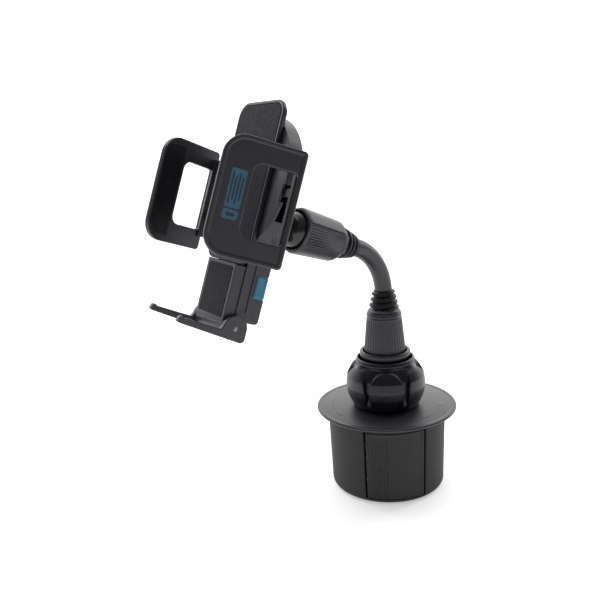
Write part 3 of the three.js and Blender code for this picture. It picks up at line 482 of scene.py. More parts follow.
def build_cup():
    """Cup: a turned sheet with three windows, given its wall by Solidify and soft edges by Bevel."""
    high = BASE.span("base_cup")[1]
    segment_low, segment_high = BASE.span("grip_segment_1")
    recess = BASE.span("bottom_plate")[1][0] + 0.3
    top = high[2]
    radius = high[0]
    window = (segment_low[2] - 0.3, segment_high[2] + 0.3)
    curve = np.linspace(0, 1, 7) * CUP_EDGE
    heights = [window[0], *curve[curve > window[0]], *np.linspace(6, window[1], 14), top]
    side = [(cup_radius(h, radius, top), h) for h in [*curve[curve < window[0]], *heights]]
    floor = 4.4
    profile = np.array([(0.0, floor), (recess * 0.5, floor), (recess, floor), (recess, 0.0), *side])
    edges = []
    for direction in SEGMENTS.values():
        edges += [direction - WINDOW_HALF, direction + WINDOW_HALF]
    angles = np.concatenate(
        [np.linspace(a, b, 28)[:-1] for a, b in zip(edges, edges[1:] + [edges[0] + 360])]
    )
    turn = np.radians(angles)
    points = np.stack(
        [
            profile[:, :1] * np.cos(turn), profile[:, :1] * np.sin(turn),
            np.broadcast_to(profile[:, 1:], (len(profile), len(turn)))
        ],
        -1,
    )
    rows, columns = points.shape[:2]
    index = np.arange(rows * columns).reshape(rows, columns)
    ring = np.hstack([index, index[:, :1]])
    quads = np.stack([ring[:-1, :-1], ring[:-1, 1:], ring[1:, 1:], ring[1:, :-1]], -1)
    middle = angles + 0.5 * np.diff(np.append(angles, angles[0] + 360))
    in_window = np.zeros(columns, bool)
    for direction in SEGMENTS.values():
        in_window |= np.abs((middle - direction + 180) % 360 - 180) < WINDOW_HALF
    mid_height = 0.5 * (profile[1:, 1] + profile[:-1, 1])
    on_side = (np.arange(rows - 1) >= 4) & (mid_height > window[0]) & (mid_height < window[1])
    keep = ~(on_side[:, None] & in_window[None, :])
    mesh = bpy.data.meshes.new("cup_body")
    mesh.from_pydata(BASE.out(points.reshape(-1, 3)), [], quads[keep].tolist())
    work = bmesh.new()
    work.from_mesh(mesh)
    bmesh.ops.remove_doubles(work, verts=work.verts, dist=2e-7)
    bmesh.ops.delete(work, geom=[v for v in work.verts if not v.link_faces], context="VERTS")
    work.normal_update()
    outwards = sum(
        f.normal.dot(f.calc_center_median() - Vector((0, 0, 0.02))) * f.calc_area()
        for f in work.faces
    )
    if outwards < 0:
        bmesh.ops.reverse_faces(work, faces=work.faces)
    work.to_mesh(mesh)
    work.free()
    piece = bpy.data.objects.new("cup_body", mesh)
    bpy.context.scene.collection.objects.link(piece)
    wall = piece.modifiers.new("wall", "SOLIDIFY")
    wall.thickness = 2.1 * MM
    wall.offset = -1
    wall.use_even_offset = True
    soft = piece.modifiers.new("edges", "BEVEL")
    soft.width = 0.22 * MM
    soft.segments = 2
    soft.limit_method = "ANGLE"
    soft.angle_limit = math.radians(50)
    finish_piece(piece, "base", finish("matt_black"), ["base_cup"])


def build_segment(name, direction):
    """Grip segment: a curved panel with a sunk field and fine upright grooves near one side.

    The outer radius is the cup's, less a quarter-round near the four edges, less a small step
    inside the border, less a narrow bell curve at each groove.
    """
    low, high = BASE.span(name)
    cup_high = BASE.span("base_cup")[1]
    ends = np.array([0, 0.1, 0.25, 0.5, 0.9])
    heights = np.concatenate(
        [low[2] + ends, np.linspace(low[2] + 1.2, high[2] - 1.2, 50), high[2] - ends[::-1]]
    )
    reach = math.radians(PANEL_HALF) * cup_high[0]
    across = np.concatenate(
        [-reach + ends, np.linspace(-reach + 1.2, reach - 1.2, 260), reach - ends[::-1]]
    )
    z, s = np.meshgrid(heights, across, indexing="ij")
    radius = cup_radius(z, cup_high[0], cup_high[2])
    edge = np.minimum(np.minimum(z - low[2], high[2] - z), reach - np.abs(s))
    soft = 0.7
    inside = np.clip(soft - edge, 0, soft)
    radius -= soft - np.sqrt(soft**2 - inside**2)
    radius -= 0.28 * smooth_step(edge, 1.5, 1.9)
    depth = sizes().groove_depth / MM
    middle = smooth_step(np.minimum(z - low[2], high[2] - z), 2.2, 3.0)
    for place in np.linspace(-0.78, -0.3, 6) * reach:
        radius -= depth * middle * np.exp(-(((s - place) / 0.32) ** 2))
    angle = np.radians(direction) + s / cup_high[0]
    inner = np.full_like(radius, cup_high[0] - CUP_TAPER - 3.3)
    outside = np.stack([radius * np.cos(angle), radius * np.sin(angle), z], -1)
    inside_wall = np.stack([inner * np.cos(angle), inner * np.sin(angle), z], -1)[:, ::-1]
    ring = np.concatenate([outside, inside_wall], axis=1)
    make(
        name + "_panel", [shell(ring)], BASE, name.replace("grip_", ""), finish("matt_black"),
        [name]
    )


def ribbon(width_of, centre_line, height, thickness):
    """A thin raised band along a flat curve, its half width given along the curve."""
    tangent = np.gradient(centre_line, axis=0)
    tangent /= np.linalg.norm(tangent, axis=1, keepdims=True)
    normal = np.stack([-tangent[:, 1], tangent[:, 0]], -1)
    half = width_of[:, None]
    left, right = centre_line + normal * half, centre_line - normal * half
    soft_left, soft_right = centre_line + normal * half * 0.75, centre_line - normal * half * 0.75
    rows = [
        (left, height), (soft_left, height + thickness), (soft_right, height + thickness),
        (right, height)
    ]
    points = np.stack([np.column_stack([line, np.full(len(line), z)]) for line, z in rows], 1)
    return shell(points)


def build_flange():
    """Flange: a turned plate with a rounded rim, and two raised arrows that curve round the knob."""
    low, high = BASE.span("flange_plate")
    radius, top, bottom = high[0], high[2], high[2] - 2.0
    hole = BASE.span("cam_spindle")[1][0] + 2
    turn = np.linspace(0, math.pi, 9)
    half = (top - bottom) / 2
    rim = [(radius - half + half * math.sin(a), bottom + half * (1 - math.cos(a))) for a in turn]
    upper = [
        (radius - 2.2, top), (radius - 2.6, top - 0.12), (radius - 3.2, top - 0.12),
        (radius - 3.6, top)
    ]
    lower = [(33.4, bottom), (33.2, low[2]), (31.8, low[2]), (31.6, bottom)]
    profile = [(hole, bottom), *lower[::-1], *rim, *upper, (hole + 0.3, top), (hole, top - 0.3)]
    shells = [shell(turned(profile, 160), loop=True)]
    for start, end in ((-62, -18), (-200, -156)):
        path_radius = radius - 9.5
        line = arc((0, 0), path_radius, start, end, 24)
        shells.append(ribbon(np.full(len(line), 0.35), line, top - 0.05, 0.17))
        tip = arc((0, 0), path_radius, end, end + 8, 8)
        shells.append(ribbon(np.linspace(2.2, 0.1, len(tip)), tip, top - 0.05, 0.17))
    make("flange", shells, BASE, "base", finish("satin_black"), ["flange_plate"])


KNOB_LOBES = 6
KNOB_FIRST = -97
KNOB_SHAPE = [
    (0, 20.0), (1.4, 20.8), (4, 22.2), (8, 23.6), (13.5, 24.4), (19, 23.7), (23.5, 21.6),
    (26.5, 19.7), (28.8, 18.2)
]


def build_knob():
    """Knob: a barrel whose six lobes are arched pads that stand out of a slimmer body.

    A lobe covers the angles up to a half width that is nearly 30 degrees low down and closes
    in a flat arch towards the top. Its face is a little flatter than the barrel.
    """
    low, high = BASE.span("knob")
    bottom, top = low[2], high[2]
    shape = np.array(KNOB_SHAPE)
    z = np.concatenate([np.linspace(0, 2, 6), np.linspace(2.4, 28.8, 92)])
    radius = np.interp(z, shape[:, 0], shape[:, 1])
    kernel = np.array([1, 2, 3, 2, 1]) / 9
    radius[2:-2] = np.convolve(radius, kernel, "valid")
    sides = 480
    angle = np.linspace(0, 360, sides, endpoint=False)
    pitch = 360 / KNOB_LOBES
    across = np.abs((angle - KNOB_FIRST + pitch / 2) % pitch - pitch / 2)[None, :]
    arch_top, arch_low = 25.6, 5.0
    rise = np.clip((z - arch_low) / (arch_top - arch_low), 0, 1)
    half = (pitch / 2 - 3.0) * (
        (1 - rise**4.5) ** 0.5
    )[:, None] - 2 * smooth_step(z, 25.1, 25.6)[:, None]
    pad = smooth_step(half - across, -0.9, 1.7)
    lobe = sizes().lobe_height / MM
    depth = lobe * (smooth_step(z, 1.5, 9) * (1 - 0.85 * smooth_step(z, 25.4, 28.6)))[:, None]
    flatter = 0.9 * (1 - np.cos(np.radians(across * 1.6)))
    outer = radius[:, None] - depth * (1 - pad) + 0.25 * flatter * pad * smooth_step(z, 4, 10)[:, None]
    turn = np.radians(angle)
    body = np.stack(
        [
            outer * np.cos(turn), outer * np.sin(turn),
            np.broadcast_to((bottom + z)[:, None], outer.shape)
        ],
        -1
    )
    recess = 16.5
    spindle = BASE.span("cam_spindle")[1][0] + 0.3
    inner = [
        (17.6, top - 0.3), (17.0, top), (recess + 0.3, top), (recess, top - 0.4), (recess, top - 8),
        (spindle, top - 8), (spindle, bottom), (19.2, bottom)
    ]
    rings = np.concatenate([body, turned(inner, sides)])
    make(
        "knob_body", [shell(rings, loop=True)], BASE, "knob", finish("smooth_black"), ["knob"],
        sharp=50
    )


def build_collar():
    """Collar: a turned ring with soft corners, open above for the sleeve."""
    low, high = BASE.span("collar_ring")
    bottom, top, radius = low[2], high[2], high[0]
    bore = BASE.span("centre_post")[1][0] - 2.5
    profile = [
        (bore, bottom), (radius - 2, bottom), (radius, top - 1.6), (radius - 0.3, top), (13.5, top),
        (13.3, bottom + 5), (bore, bottom + 5)
    ]
    rings = turned(soften(profile, 0.7), 128)
    make(
        "collar", [shell(rings, loop=True)], BASE, "base", finish("smooth_black"), ["collar_ring"],
    )


def build_sleeve():
    """Sleeve: a taper with fine upright flutes between a plain foot and a beaded top."""
    low, high = NECK.span("lower_sleeve")
    bottom, top = low[2], high[2]
    z = np.concatenate(
        [np.linspace(0, 5, 8), np.linspace(5.4, 26.6, 40), np.linspace(27, top - bottom, 26)]
    )
    height = top - bottom
    radius = np.interp(
        z, [0, 4, height - 4.2, height - 2.4, height], [12.9, 12.9, 10.55, 10.35, 9.2]
    )
    bead = 0.22 * np.exp(
        -(((z - (height - 3.6)) / 0.35) ** 2)
    ) - 0.25 * np.exp(-(((z - (height - 4.5)) / 0.3) ** 2))
    radius = radius + bead
    radius -= 0.5 * smooth_step(z, height - 1.2, height)
    sides = 480
    angle = np.linspace(0, 2 * math.pi, sides, endpoint=False)
    mask = (smooth_step(z, 1.5, 3) * (1 - smooth_step(z, height - 6.5, height - 5.6)))[:, None]
    wave = np.abs(np.sin(angle * sizes().flute_count / 2))[None, :] - 1
    outer = radius[:, None] + sizes().flute_depth / MM * wave * mask
    body = np.stack(
        [
            outer * np.cos(angle), outer * np.sin(angle),
            np.broadcast_to((bottom + z)[:, None], outer.shape)
        ],
        -1
    )
    inner = [
        (8.3, top), (8.2, top - 0.4), (8.2, bottom + 8), (6.5, bottom + 8), (6.5, bottom),
        (12.4, bottom)
    ]
    rings = np.concatenate([body, turned(inner, sides)])
    make(
        "sleeve", [shell(rings, loop=True)], NECK, "sleeve", finish("satin_black"),
        ["lower_sleeve"], sharp=50
    )


def helical_boot(length, wide, narrow, bore, handed=1):
    """Boot: a tube whose wall is a rounded thread.

    The radius is a linear taper plus a wave of the height less the turn's share of the pitch,
    and the wave fades at both ends.
    """
    z = np.linspace(0, length, 90)
    sides = 144
    angle = np.linspace(0, 2 * math.pi, sides, endpoint=False)
    pitch = sizes().thread_pitch / MM
    phase = (z[:, None] / pitch - handed * angle[None, :] / (2 * math.pi) + 0.25) % 1
    wave = np.clip(0.62 + 0.75 * np.cos(2 * math.pi * phase), 0, 1) ** 0.75
    fade = (smooth_step(z, 0, 0.5) * (1 - smooth_step(z, length - 0.5, length)))[:, None]
    outer = np.interp(z, [0, length], [wide, narrow])[:, None] - 1.5 * (1 - wave * fade)
    outer = np.maximum(outer, bore + 0.35)
    body = np.stack(
        [outer * np.cos(angle), outer * np.sin(angle), np.broadcast_to(z[:, None], outer.shape)], -1
    )
    return shell(np.concatenate([body, turned([(bore, length), (bore, 0)], sides)]), loop=True)


def blended(piece, place, start, end):
    """Takes a finished boot off its body and bakes its placement into its mesh."""
    piece.parent = None
    place.out(start)
    place.out(end)
    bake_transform(piece)


def build_boots():
    low, high = NECK.span("lower_boot")
    lower = mesh_object(
        "lower_boot_thread", [helical_boot(high[2] - low[2], 9.2, 6.7, 5.45)],
        Place(NECK.out((0, 0, low[2])), *NECK.axes)
    )
    finish_piece(lower, "sleeve", finish("rubber"), ["lower_boot"], sharp=60)
    blended(lower, NECK, (0, 0, low[2] + 1), (0, 0, high[2] - 1))
    low, high = JOINT.span("upper_boot")
    back = Place(JOINT.out((0, 0, high[2])), JOINT.axes[0], -JOINT.axes[1], -JOINT.axes[2])
    upper = mesh_object("upper_boot_thread", [helical_boot(high[2] - low[2], 9.0, 6.4, 5.45)], back)
    finish_piece(upper, "socket", finish("rubber"), ["upper_boot"], sharp=60)
    blended(upper, JOINT, (0, 0, high[2] - 1), (0, 0, low[2] + 1))


# ---- Neck ----------------------------------------------------------------------------
def neck_line():
    """The neck's centre line: upright, a circular bend, then straight to the ball.

    The bend's radius and the straight length are the two that reach the ball's centre at the
    nut's angle, from a bend that starts 4 mm above the lower bending point.
    """
    start = joints["neck_bend_lower"]["pos_m"][2] / MM + 4
    bend = math.acos(nut_axis[2])
    reach = NECK.into(ball_centre)
    matrix = [[1 - math.cos(bend), math.sin(bend)], [math.sin(bend), math.cos(bend)]]
    radius, straight = np.linalg.solve(matrix, [reach[0], reach[2] - start])
    return start, bend, radius, straight


def build_jacket():
    """Jacket: a round tube along the neck's line."""
    start, bend, radius, straight = neck_line()
    along = np.linspace(-5, bend * radius + straight - 37, 90)
    turn = np.clip(along / radius, 0, bend)
    rest = along - turn * radius
    centre = np.stack(
        [
            radius * (1 - np.cos(turn)) + rest * np.sin(turn), 0 * turn,
            start + radius * np.sin(turn) + rest * np.cos(turn)
        ],
        -1,
    )
    aside = np.stack([np.cos(turn), 0 * turn, -np.sin(turn)], -1)
    across = np.array([0, 1, 0])
    tube = 5.2
    angle = np.linspace(0, 2 * math.pi, 72, endpoint=False)
    ring = tube * (
        np.cos(angle)[None, :, None] * aside[:, None, :] + np.sin(angle)[None, :, None] * across
    )
    make(
        "neck_jacket", [shell(centre[:, None, :] + ring)], NECK, "gooseneck", finish("satin_black"),
        ["gooseneck_jacket"], sharp=60
    )


# ---- Ball joint ----------------------------------------------------------------------
def build_nut():
    """Ball nut: a taper with three ribbed bands; between them plain faces end in a shoulder.

    The radius is the taper's; in a band it is a flat face's distance less narrow grooves, and
    outside a band it falls to the back end over the shoulder's length.
    """
    low, high = JOINT.span("ball_nut")
    back, front = low[2], high[2]
    z = np.concatenate(
        [
            np.linspace(back, back + 1, 6), np.linspace(back + 1.3, front - 1, 70),
            np.linspace(front - 0.8, front, 8)
        ]
    )
    sides = 600
    angle = np.linspace(0, 360, sides, endpoint=False)
    band_half, first = 31, -37
    across = (angle - first + 60) % 120 - 60
    near_band = 1 - smooth_step(np.abs(across), band_half - 1.2, band_half)
    taper = np.interp(z, [back, front - 1.2, front - 0.6, front], [10.9, 12.3, 12.2, 11.6])[:, None]
    shoulder = np.interp(z, [back, back + 2.5, back + 6.2], [3.6, 2.1, 0.0])[:, None]
    plain = taper + 0.35 - shoulder - 0.35 * smooth_step(z, front - 3, front)[:, None]
    flat = (taper - 0.4) * (1 + 0.35 * (1 / np.cos(np.radians(across * 0.8)) - 1))
    end = np.interp(z, [back, back + 1.2, back + 4.2], [2.6, 1.5, 0.0])[:, None]
    ribs = sizes().rib_count
    wave = np.abs(np.sin(np.radians((across / band_half + 1) * 90 * ribs)))
    groove = sizes().rib_depth / MM * (1 - wave**0.6) * smooth_step(front - z, 1.5, 2.2)[:, None]
    banded = np.minimum(flat, taper) - groove - end - 0.15
    radius = plain + (banded - plain) * near_band
    turn = np.radians(angle)
    body = np.stack(
        [radius * np.cos(turn), radius * np.sin(turn), np.broadcast_to(z[:, None], radius.shape)],
        -1
    )
    inner = [
        (11.2, front), (10.7, front - 0.3), (10.9, front - 3.5), (10.9, back + 6), (5.6, back + 6),
        (5.6, back), (7.4, back)
    ]
    rings = np.concatenate([body, turned(inner, sides)])
    make(
        "nut_body", [shell(rings, loop=True)], JOINT, "nut", finish("satin_black"), ["ball_nut"],
        sharp=50
    )


def build_ball():
    """Ball and stud: a sphere whose profile runs into a waisted stem and an end flange."""
    low, high = STUD.span("ball_stud")
    radius, end = -low[0], high[0]
    stem = 4.6
    angle = np.linspace(0, math.pi - math.asin(stem / radius) - 0.05, 60)
    sphere = [(radius * math.sin(a), -radius * math.cos(a)) for a in angle]
    neck = radius * math.cos(math.asin(stem / radius))
    profile = [
        *sphere, (stem + 0.25, neck + 0.5), (stem, neck + 1.2), (stem, end - 2.3), (8.2, end - 2.2),
        (8.4, end - 2), (8.4, end - 0.2), (8.2, end), (0, end)
    ]
    make(
        "ball", [shell(turned(profile, 128, axis=0))], STUD, "ball", finish("gloss_black"),
        ["ball_stud"], sharp=50
    )


def build_retainer():
    low, high = STUD.span("stud_retainer")
    profile = soften([(4.9, low[0]), (9.7, low[0]), (10.4, high[0]), (4.9, high[0])], 0.4)
    make(
        "retainer", [shell(turned(profile, 96, axis=0), loop=True)], STUD, "cradle",
        finish("satin_black"), ["stud_retainer"]
    )


# ---- Cradle --------------------------------------------------------------------------
def box_shell(x, y, z, soft=0.3):
    """A block with soft edges."""
    outline = lambda inset: rounded(y, z, [soft] * 4, inset, steps=3)
    return shell(stack(outline, slab(*x, soft, soft, 3)))


def build_plate():
    """Front plate: a rounded plate with a raised bezel; the pad lies in the recess."""
    low, high = FACE.span("front_plate")
    y, z = (low[1], high[1]), (low[2], high[2])
    bezel = 1.7
    outline = lambda inset: rounded(y, z, [8] * 4, inset, steps=12)
    rim = high[0] + 0.35
    edge = slab(low[0], rim, 0.35, 0.55)[:-1]
    inner = [
        (bezel - 0.45, rim), (bezel - 0.25, rim - 0.05), (bezel - 0.08, rim - 0.2),
        (bezel, rim - 0.4), (bezel, -1.2)
    ]
    make(
        "bezel_plate", [shell(stack(outline, edge + inner))], FACE, "cradle", finish("satin_black"),
        ["front_plate"]
    )


def build_pads():
    """Pads: rounded plates with a soft edge, on the cradle's face and on the stem."""
    for node, name in (("face_pad", "pad_face"), ("stem_pad", "pad_stem")):
        low, high = FACE.span(node)
        corner = 6.1 if node == "face_pad" else 1.2
        outline = lambda inset: rounded(
            (low[1], high[1]), (low[2], high[2]), [corner] * 4, inset, steps=10
        )
        body = "cradle" if node == "face_pad" else "stem"
        make(
            name, [shell(stack(outline, slab(low[0], high[0], 0.1, 0.35)))], FACE, body,
            finish("soft_pad"), [node]
        )


DISC_CENTRE = (0, 12)


def build_housing():
    """Back housing: a turned gear case with rail gaps, a grooved tail and the boss for the stud."""
    low, high = FACE.span("back_housing")
    tail_back, tail_bottom = low[0], low[2]
    radius = high[1]
    back, front = -11.7, high[0]
    case_profile = soften(
        [
            (0.01, back), (radius - 1.2, back), (radius, back + 1.2), (radius, front),
            (radius - 2.4, front), (radius - 2.4, -10.1), (0.01, -10.1)
        ], 0.5
    )
    case = mesh_object(
        "gear_case", [shell(turned(case_profile, 168, axis=0, centre=DISC_CENTRE), loop=True)], FACE
    )
    slots = [
        mesh_object(
            "slot", [box_shell((-6.4, front + 3), (20, radius + 4), (3.7, 12.0), 0.1)], FACE
        ),
        mesh_object(
            "slot", [box_shell((-6.4, front + 3), (-radius - 4, -20), (-12.0, -3.7), 0.1)], FACE
        ),
        mesh_object("notch", [box_shell((-9.0, -4.4), (24, radius + 4), (-5.5, 4.5), 0.1)], FACE),
        mesh_object("seat", [box_shell((-4.1, front + 3), (-20.4, 20.4), (12, 60), 0.1)], FACE),
    ]
    cut(case, slots)
    finish_piece(case, "cradle", finish("satin_black"), ["back_housing"], sharp=28)

    build_tail(tail_back, tail_bottom)

    boss = soften(
        [
            (8.9, tail_back), (12, tail_back), (12, back + 0.6), (4.9, back + 0.6),
            (4.9, tail_back + 2.9), (8.9, tail_back + 2.9)
        ],
        0.5
    )
    centre = (0, FACE.into(ball_centre)[2])
    make(
        "stud_boss", [shell(turned(boss, 96, axis=0, centre=centre), loop=True)], FACE, "cradle",
        finish("satin_black"), ["back_housing"]
    )


TAIL_HALF = 15.0
TAIL_FRONT = -5.4


def build_tail(back, bottom):
    """Tail: two side walls with an open notch for the buttons, a back wall and two front lips.

    Each side wall is an outline in x and z, swept through the wall's thickness with soft edges.
    The near wall also carries a raised frame round the slideway.
    """
    hinge = FACE.into(joints["feet_fold"]["pos_m"])
    button_low, button_high = FACE.span("release_button_near")
    notch = (button_low[2] + 1.4, button_high[2] - 1.4)
    room = 7.2
    lowest = math.degrees(math.asin((bottom - hinge[2]) / room))
    foot = arc((hinge[0], hinge[2]), room, 91, 180 - lowest, 8)
    wall = np.array([
        (TAIL_FRONT, 3), *foot, (
            back + 1, bottom
        ), (back, bottom + 1), (back, notch[0]), (-11.9, notch[0]),
        (-11.9, notch[1]), (back, notch[1]), (back, 1), (back + 1, 3),
    ])
    wall = soften(wall, 0.35, 3)
    outline = lambda inset: offset_outline(wall, inset)
    shells = []
    for sign in (1, -1):
        rings = stack(outline, slab(12.6, TAIL_HALF, 0.1, 0.3, 3, 0.05), XZY)
        rings[..., 1] *= sign
        shells.append(shell(rings))
        frame_out = lambda inset: rounded((-10.9, -5.6), (-52, -25.2), [0.6, 0.6, 2.4, 2.4], inset)
        frame_in = lambda inset: rounded((-10.1, -5.0), (-54, -26.0), [0.6, 0.6, 1.8, 1.8], -inset)
        band = np.concatenate([
            stack(frame_out, slab(14.7, 15.5, 0.05, 0.2, 3, 0.02), XZY),
            stack(frame_in, slab(14.7, 15.5, 0.05, 0.2, 3, 0.02), XZY)[::-1],
        ])
        band[..., 1] *= sign
        lips = [(7.8, 12.9), (-12.9, -7.8)][sign < 0]
        shells.append(box_shell((TAIL_FRONT - 1.3, TAIL_FRONT), lips, (bottom + 4, 3), 0.2))
        shells.append(shell(band, loop=True))
    shells.append(box_shell((back, back + 2), (-12.9, 12.9), (notch[1], 3), 0.15))
    shells.append(box_shell((back, back + 2), (-10, 10), (notch[0] - 2, notch[1] + 2), 0.15))
    shells.append(box_shell((back, back + 2), (-12.9, 12.9), (bottom, notch[0]), 0.15))
    make(
        "tail", shells, FACE, "cradle", finish("satin_black"), ["back_housing"],
        sharp=40
    )


def build_cover():
    """Front housing: a disc in the case's mouth and the plate that carries the front plate."""
    high = FACE.span("front_housing")[1]
    front = high[0]
    disc = [(0.01, -3.7), *[(33.7 - i, h) for i, h in slab(-3.7, front, 0.2, 0.4)], (0.01, front)]
    outline = lambda inset: rounded((-20, 20), (12, high[2]), [5] * 4, inset)
    shells = [
        shell(turned(disc, 144, axis=0, centre=DISC_CENTRE), caps=False),
        shell(stack(outline, slab(-3.65, front - 0.05, 0.2, 0.3)))
    ]
    make(
        "case_cover", shells, FACE, "cradle", finish("satin_black"), ["front_housing"],
    )


# ---- Arms ----------------------------------------------------------------------------
ARM = {"length": 38.0, "half": 27.4, "wall": 3.2, "curl": 17.1, "back_x": -4.5, "back_y": 46.2}
ARM_FACE = -0.22
WINDOW = {"x": (2.4, 22.9), "y": (-17.0, 16.6)}


def arm_place(place):
    """Frame of an arm's plate: x along its depth, y up, z out of its outer face."""
    curl = math.radians(ARM["curl"])
    depth = math.cos(curl) * place.axes[0] - math.sin(curl) * place.axes[1]
    origin = place.out((ARM["back_x"], ARM["back_y"], 0))
    return Place(origin, depth, place.axes[2], np.cross(depth, place.axes[2]))


def outwards(place, arm):
    """1 if the arm frame's z points away from the phone, and -1 if it points to it."""
    return 1 if np.dot(arm.axes[2], place.axes[1]) > 0 else -1


def build_arm(side, place):
    """Arm: a rounded plate with a window, a carriage and a rail.

    The plate is a closed band of rings: out along the outer outline, over its rounded edge, and
    back through the window's outline, which has the same number of points.
    """
    arm = arm_place(place)
    sign = outwards(place, arm)
    wall = ARM["wall"]
    outer = lambda inset: rounded(
        (0, ARM["length"]), (-ARM["half"], ARM["half"]), [2, 10, 10, 2], inset, steps=14, middle=3
    )
    hole = lambda inset: rounded(
        WINDOW["x"], WINDOW["y"], [2.2, 4.5, 4.5, 2.2], -inset, steps=14, middle=3
    )
    sunk = ARM_FACE
    edge = [
        *slab(-wall, 0, 0.5, sizes().arm_edge / MM, 5), (1.9, 0), (2.05, sunk * 0.3), (2.3, sunk),
        (2.5, sunk)
    ]
    inner = slab(-wall, sunk, 0.5, 0.6, 4)
    rings = np.concatenate([stack(outer, edge, XYZ), stack(hole, inner, XYZ)[::-1]])
    rings[..., 2] *= sign
    plate = mesh_object(f"arm_{side}_plate", [shell(rings, loop=True)], arm)
    carriage = box_shell((-6.0, -2.1), (40.9, 43.6), (-22, 20), 0.5)
    gusset = box_shell((-6.0, -3.5), (33.5, 43.4), (-23, -12.5), 0.5)
    rail = box_shell((-6.0, -4.0), (-17, 43.2), (6.35, 10.35), 0.25)
    extra = mesh_object("extra", [carriage, gusset, rail], place)
    join(plate, extra)
    finish_piece(plate, f"{side}_arm", finish("satin_black"), [f"arm_{side}"])
    pad_outline = lambda inset: rounded((24.5, 36.8), (-24, 24), [1, 7, 7, 1], inset)
    pad = stack(pad_outline, slab(-0.25, 0.4, 0.2, 0.1), XYZ)
    pad[..., 2] = (pad[..., 2] - wall - 0.3) * sign
    make(
        f"arm_{side}_cushion", [shell(pad)], arm, f"{side}_arm", finish("rubber"),
        [f"arm_pad_{side}"]
    )


def join(piece, other):
    """Adds another object's mesh to the piece and removes that object."""
    merged = bmesh.new()
    merged.from_mesh(piece.data)
    merged.from_mesh(other.data)
    merged.to_mesh(piece.data)
    merged.free()
    bpy.data.objects.remove(other)


def build_patch():
    """Printed patch on the near arm: two rounded blue fields with plain bars."""
    arm = arm_place(FACE)
    sign = outwards(FACE, arm)

    def film(x, y, radius, low, high, name, material):
        outline = lambda inset: rounded(x, y, [radius] * 4, inset, steps=5)
        rings = stack(outline, slab(ARM_FACE + low, ARM_FACE + high, 0.01, 0.02, 2, 0.02), XYZ)
        rings[..., 2] *= sign
        return make(name, [shell(rings)], arm, "near_arm", finish(material), ())

    film((25.1, 32.3), (-5.5, 11.9), 0.9, 0.0, 0.05, "patch_large", "printed_blue")
    film((25.1, 32.3), (-10.6, -6.3), 1.2, 0.0, 0.05, "patch_small", "printed_blue")
    for index, x in enumerate(np.linspace(26.4, 31.0, 4)):
        tall = (-3.9, 10.3) if index % 2 else (-2.0, 8.4)
        film(
            (x - 0.42, x + 0.42), tall, 0.4, 0.045, 0.075, f"patch_bar_{index + 1}", "printed_dark"
        )
    film((26.6, 30.8), (-9.3, -7.6), 0.8, 0.045, 0.075, "patch_bar_5", "printed_dark")


# ---- Stem, feet and buttons ----------------------------------------------------------
def build_stem():
    """Stem: a rounded block, the hinge barrel and the runner behind it."""
    high = FACE.span("stem_slider")[1]
    front, top = high[0], high[2]
    hinge = FACE.into(joints["feet_fold"]["pos_m"])
    half = 14.9
    y, z = (-half, half), (hinge[2] + 1.2, -29.15)
    outline = lambda inset: rounded(y, z, [0.6, 0.6, 0.6, 0.6], inset)
    edge = slab(-5.1, front, 0.2, 0.3)
    body = shell(stack(outline, edge))
    barrel_profile = [
        (0.01, -half), *[(6.4 - i, h) for i, h in slab(-half, half, 0.4, 0.4)], (0.01, half)
    ]
    barrel = shell(turned(barrel_profile, 96, axis=1, centre=(hinge[2], hinge[0])), caps=False)
    runner = box_shell((-9.6, -7.0), (-12.2, 12.2), (hinge[2] + 8, top), 0.4)
    link = box_shell((-7.4, -4.8), (-7.4, 7.4), (hinge[2] + 3, -30), 0.2)
    make(
        "stem_body", [body, barrel, runner, link], FACE, "stem", finish("satin_black"),
        ["stem_slider"]
    )


def foot_outline(reach=31.0, lug=6.6):
    """Side view of a foot, about its hinge: a round knuckle and a bar that climbs to its tip."""
    rise = math.tan(math.radians(8.9)) * 0.86
    back = -5.1
    under = lambda x: -6.6 + (x - back) * rise
    corner = 2.6
    low_corner = under(-lug) + corner
    knuckle = [*arc((0, 0), lug, 6, 180, 22), *arc((corner - lug, low_corner), corner, 180, 262, 7)]
    bar = [
        (
            reach - 1.4, under(reach - 1.4)
        ), (reach - 0.5, under(reach) + 0.1), (reach, under(reach) + 0.8),
        (
            reach - 0.6, under(reach) + 2.6
        ), (reach - 1.2, under(reach) + 3.3), (reach - 2.2, under(reach) + 3.2),
        (reach - 3.6, under(reach - 3.6) + 2.9), (lug + 1.2, under(lug + 1.2) + 3.6),
    ]
    return np.array([*bar, *knuckle])


def build_feet():
    hinge = FACE.into(joints["feet_fold"]["pos_m"])
    points = foot_outline()
    for side, sign in (("near", 1), ("far", -1)):
        outline = lambda inset: offset_outline(points, inset) + [hinge[0], hinge[2]]
        low, high = FACE.span(f"foot_{side}")
        inner, outer = sorted((low[1], high[1]), key=abs)
        profile = slab(abs(inner), abs(outer), 0.2, 0.45, 3)
        rings = stack(outline, profile, XZY)
        rings[..., 1] *= sign
        make(
            f"foot_{side}_prong", [shell(rings)], FACE, "feet", finish("satin_black"),
            [f"foot_{side}"], sharp=40
        )
    low, high = FACE.span("foot_pin")
    ends = [
        (0.01, low[1]), (1.2, low[1]), (1.7, low[1] + 0.2), (1.9, low[1] + 0.5),
        (1.9, high[1] - 0.5), (1.7, high[1] - 0.2), (1.2, high[1]), (0.01, high[1])
    ]
    make(
        "pin", [shell(turned(ends, 48, axis=1, centre=(hinge[2], hinge[0])), caps=False)], FACE,
        "feet", finish("plated_steel"), ["foot_pin"]
    )


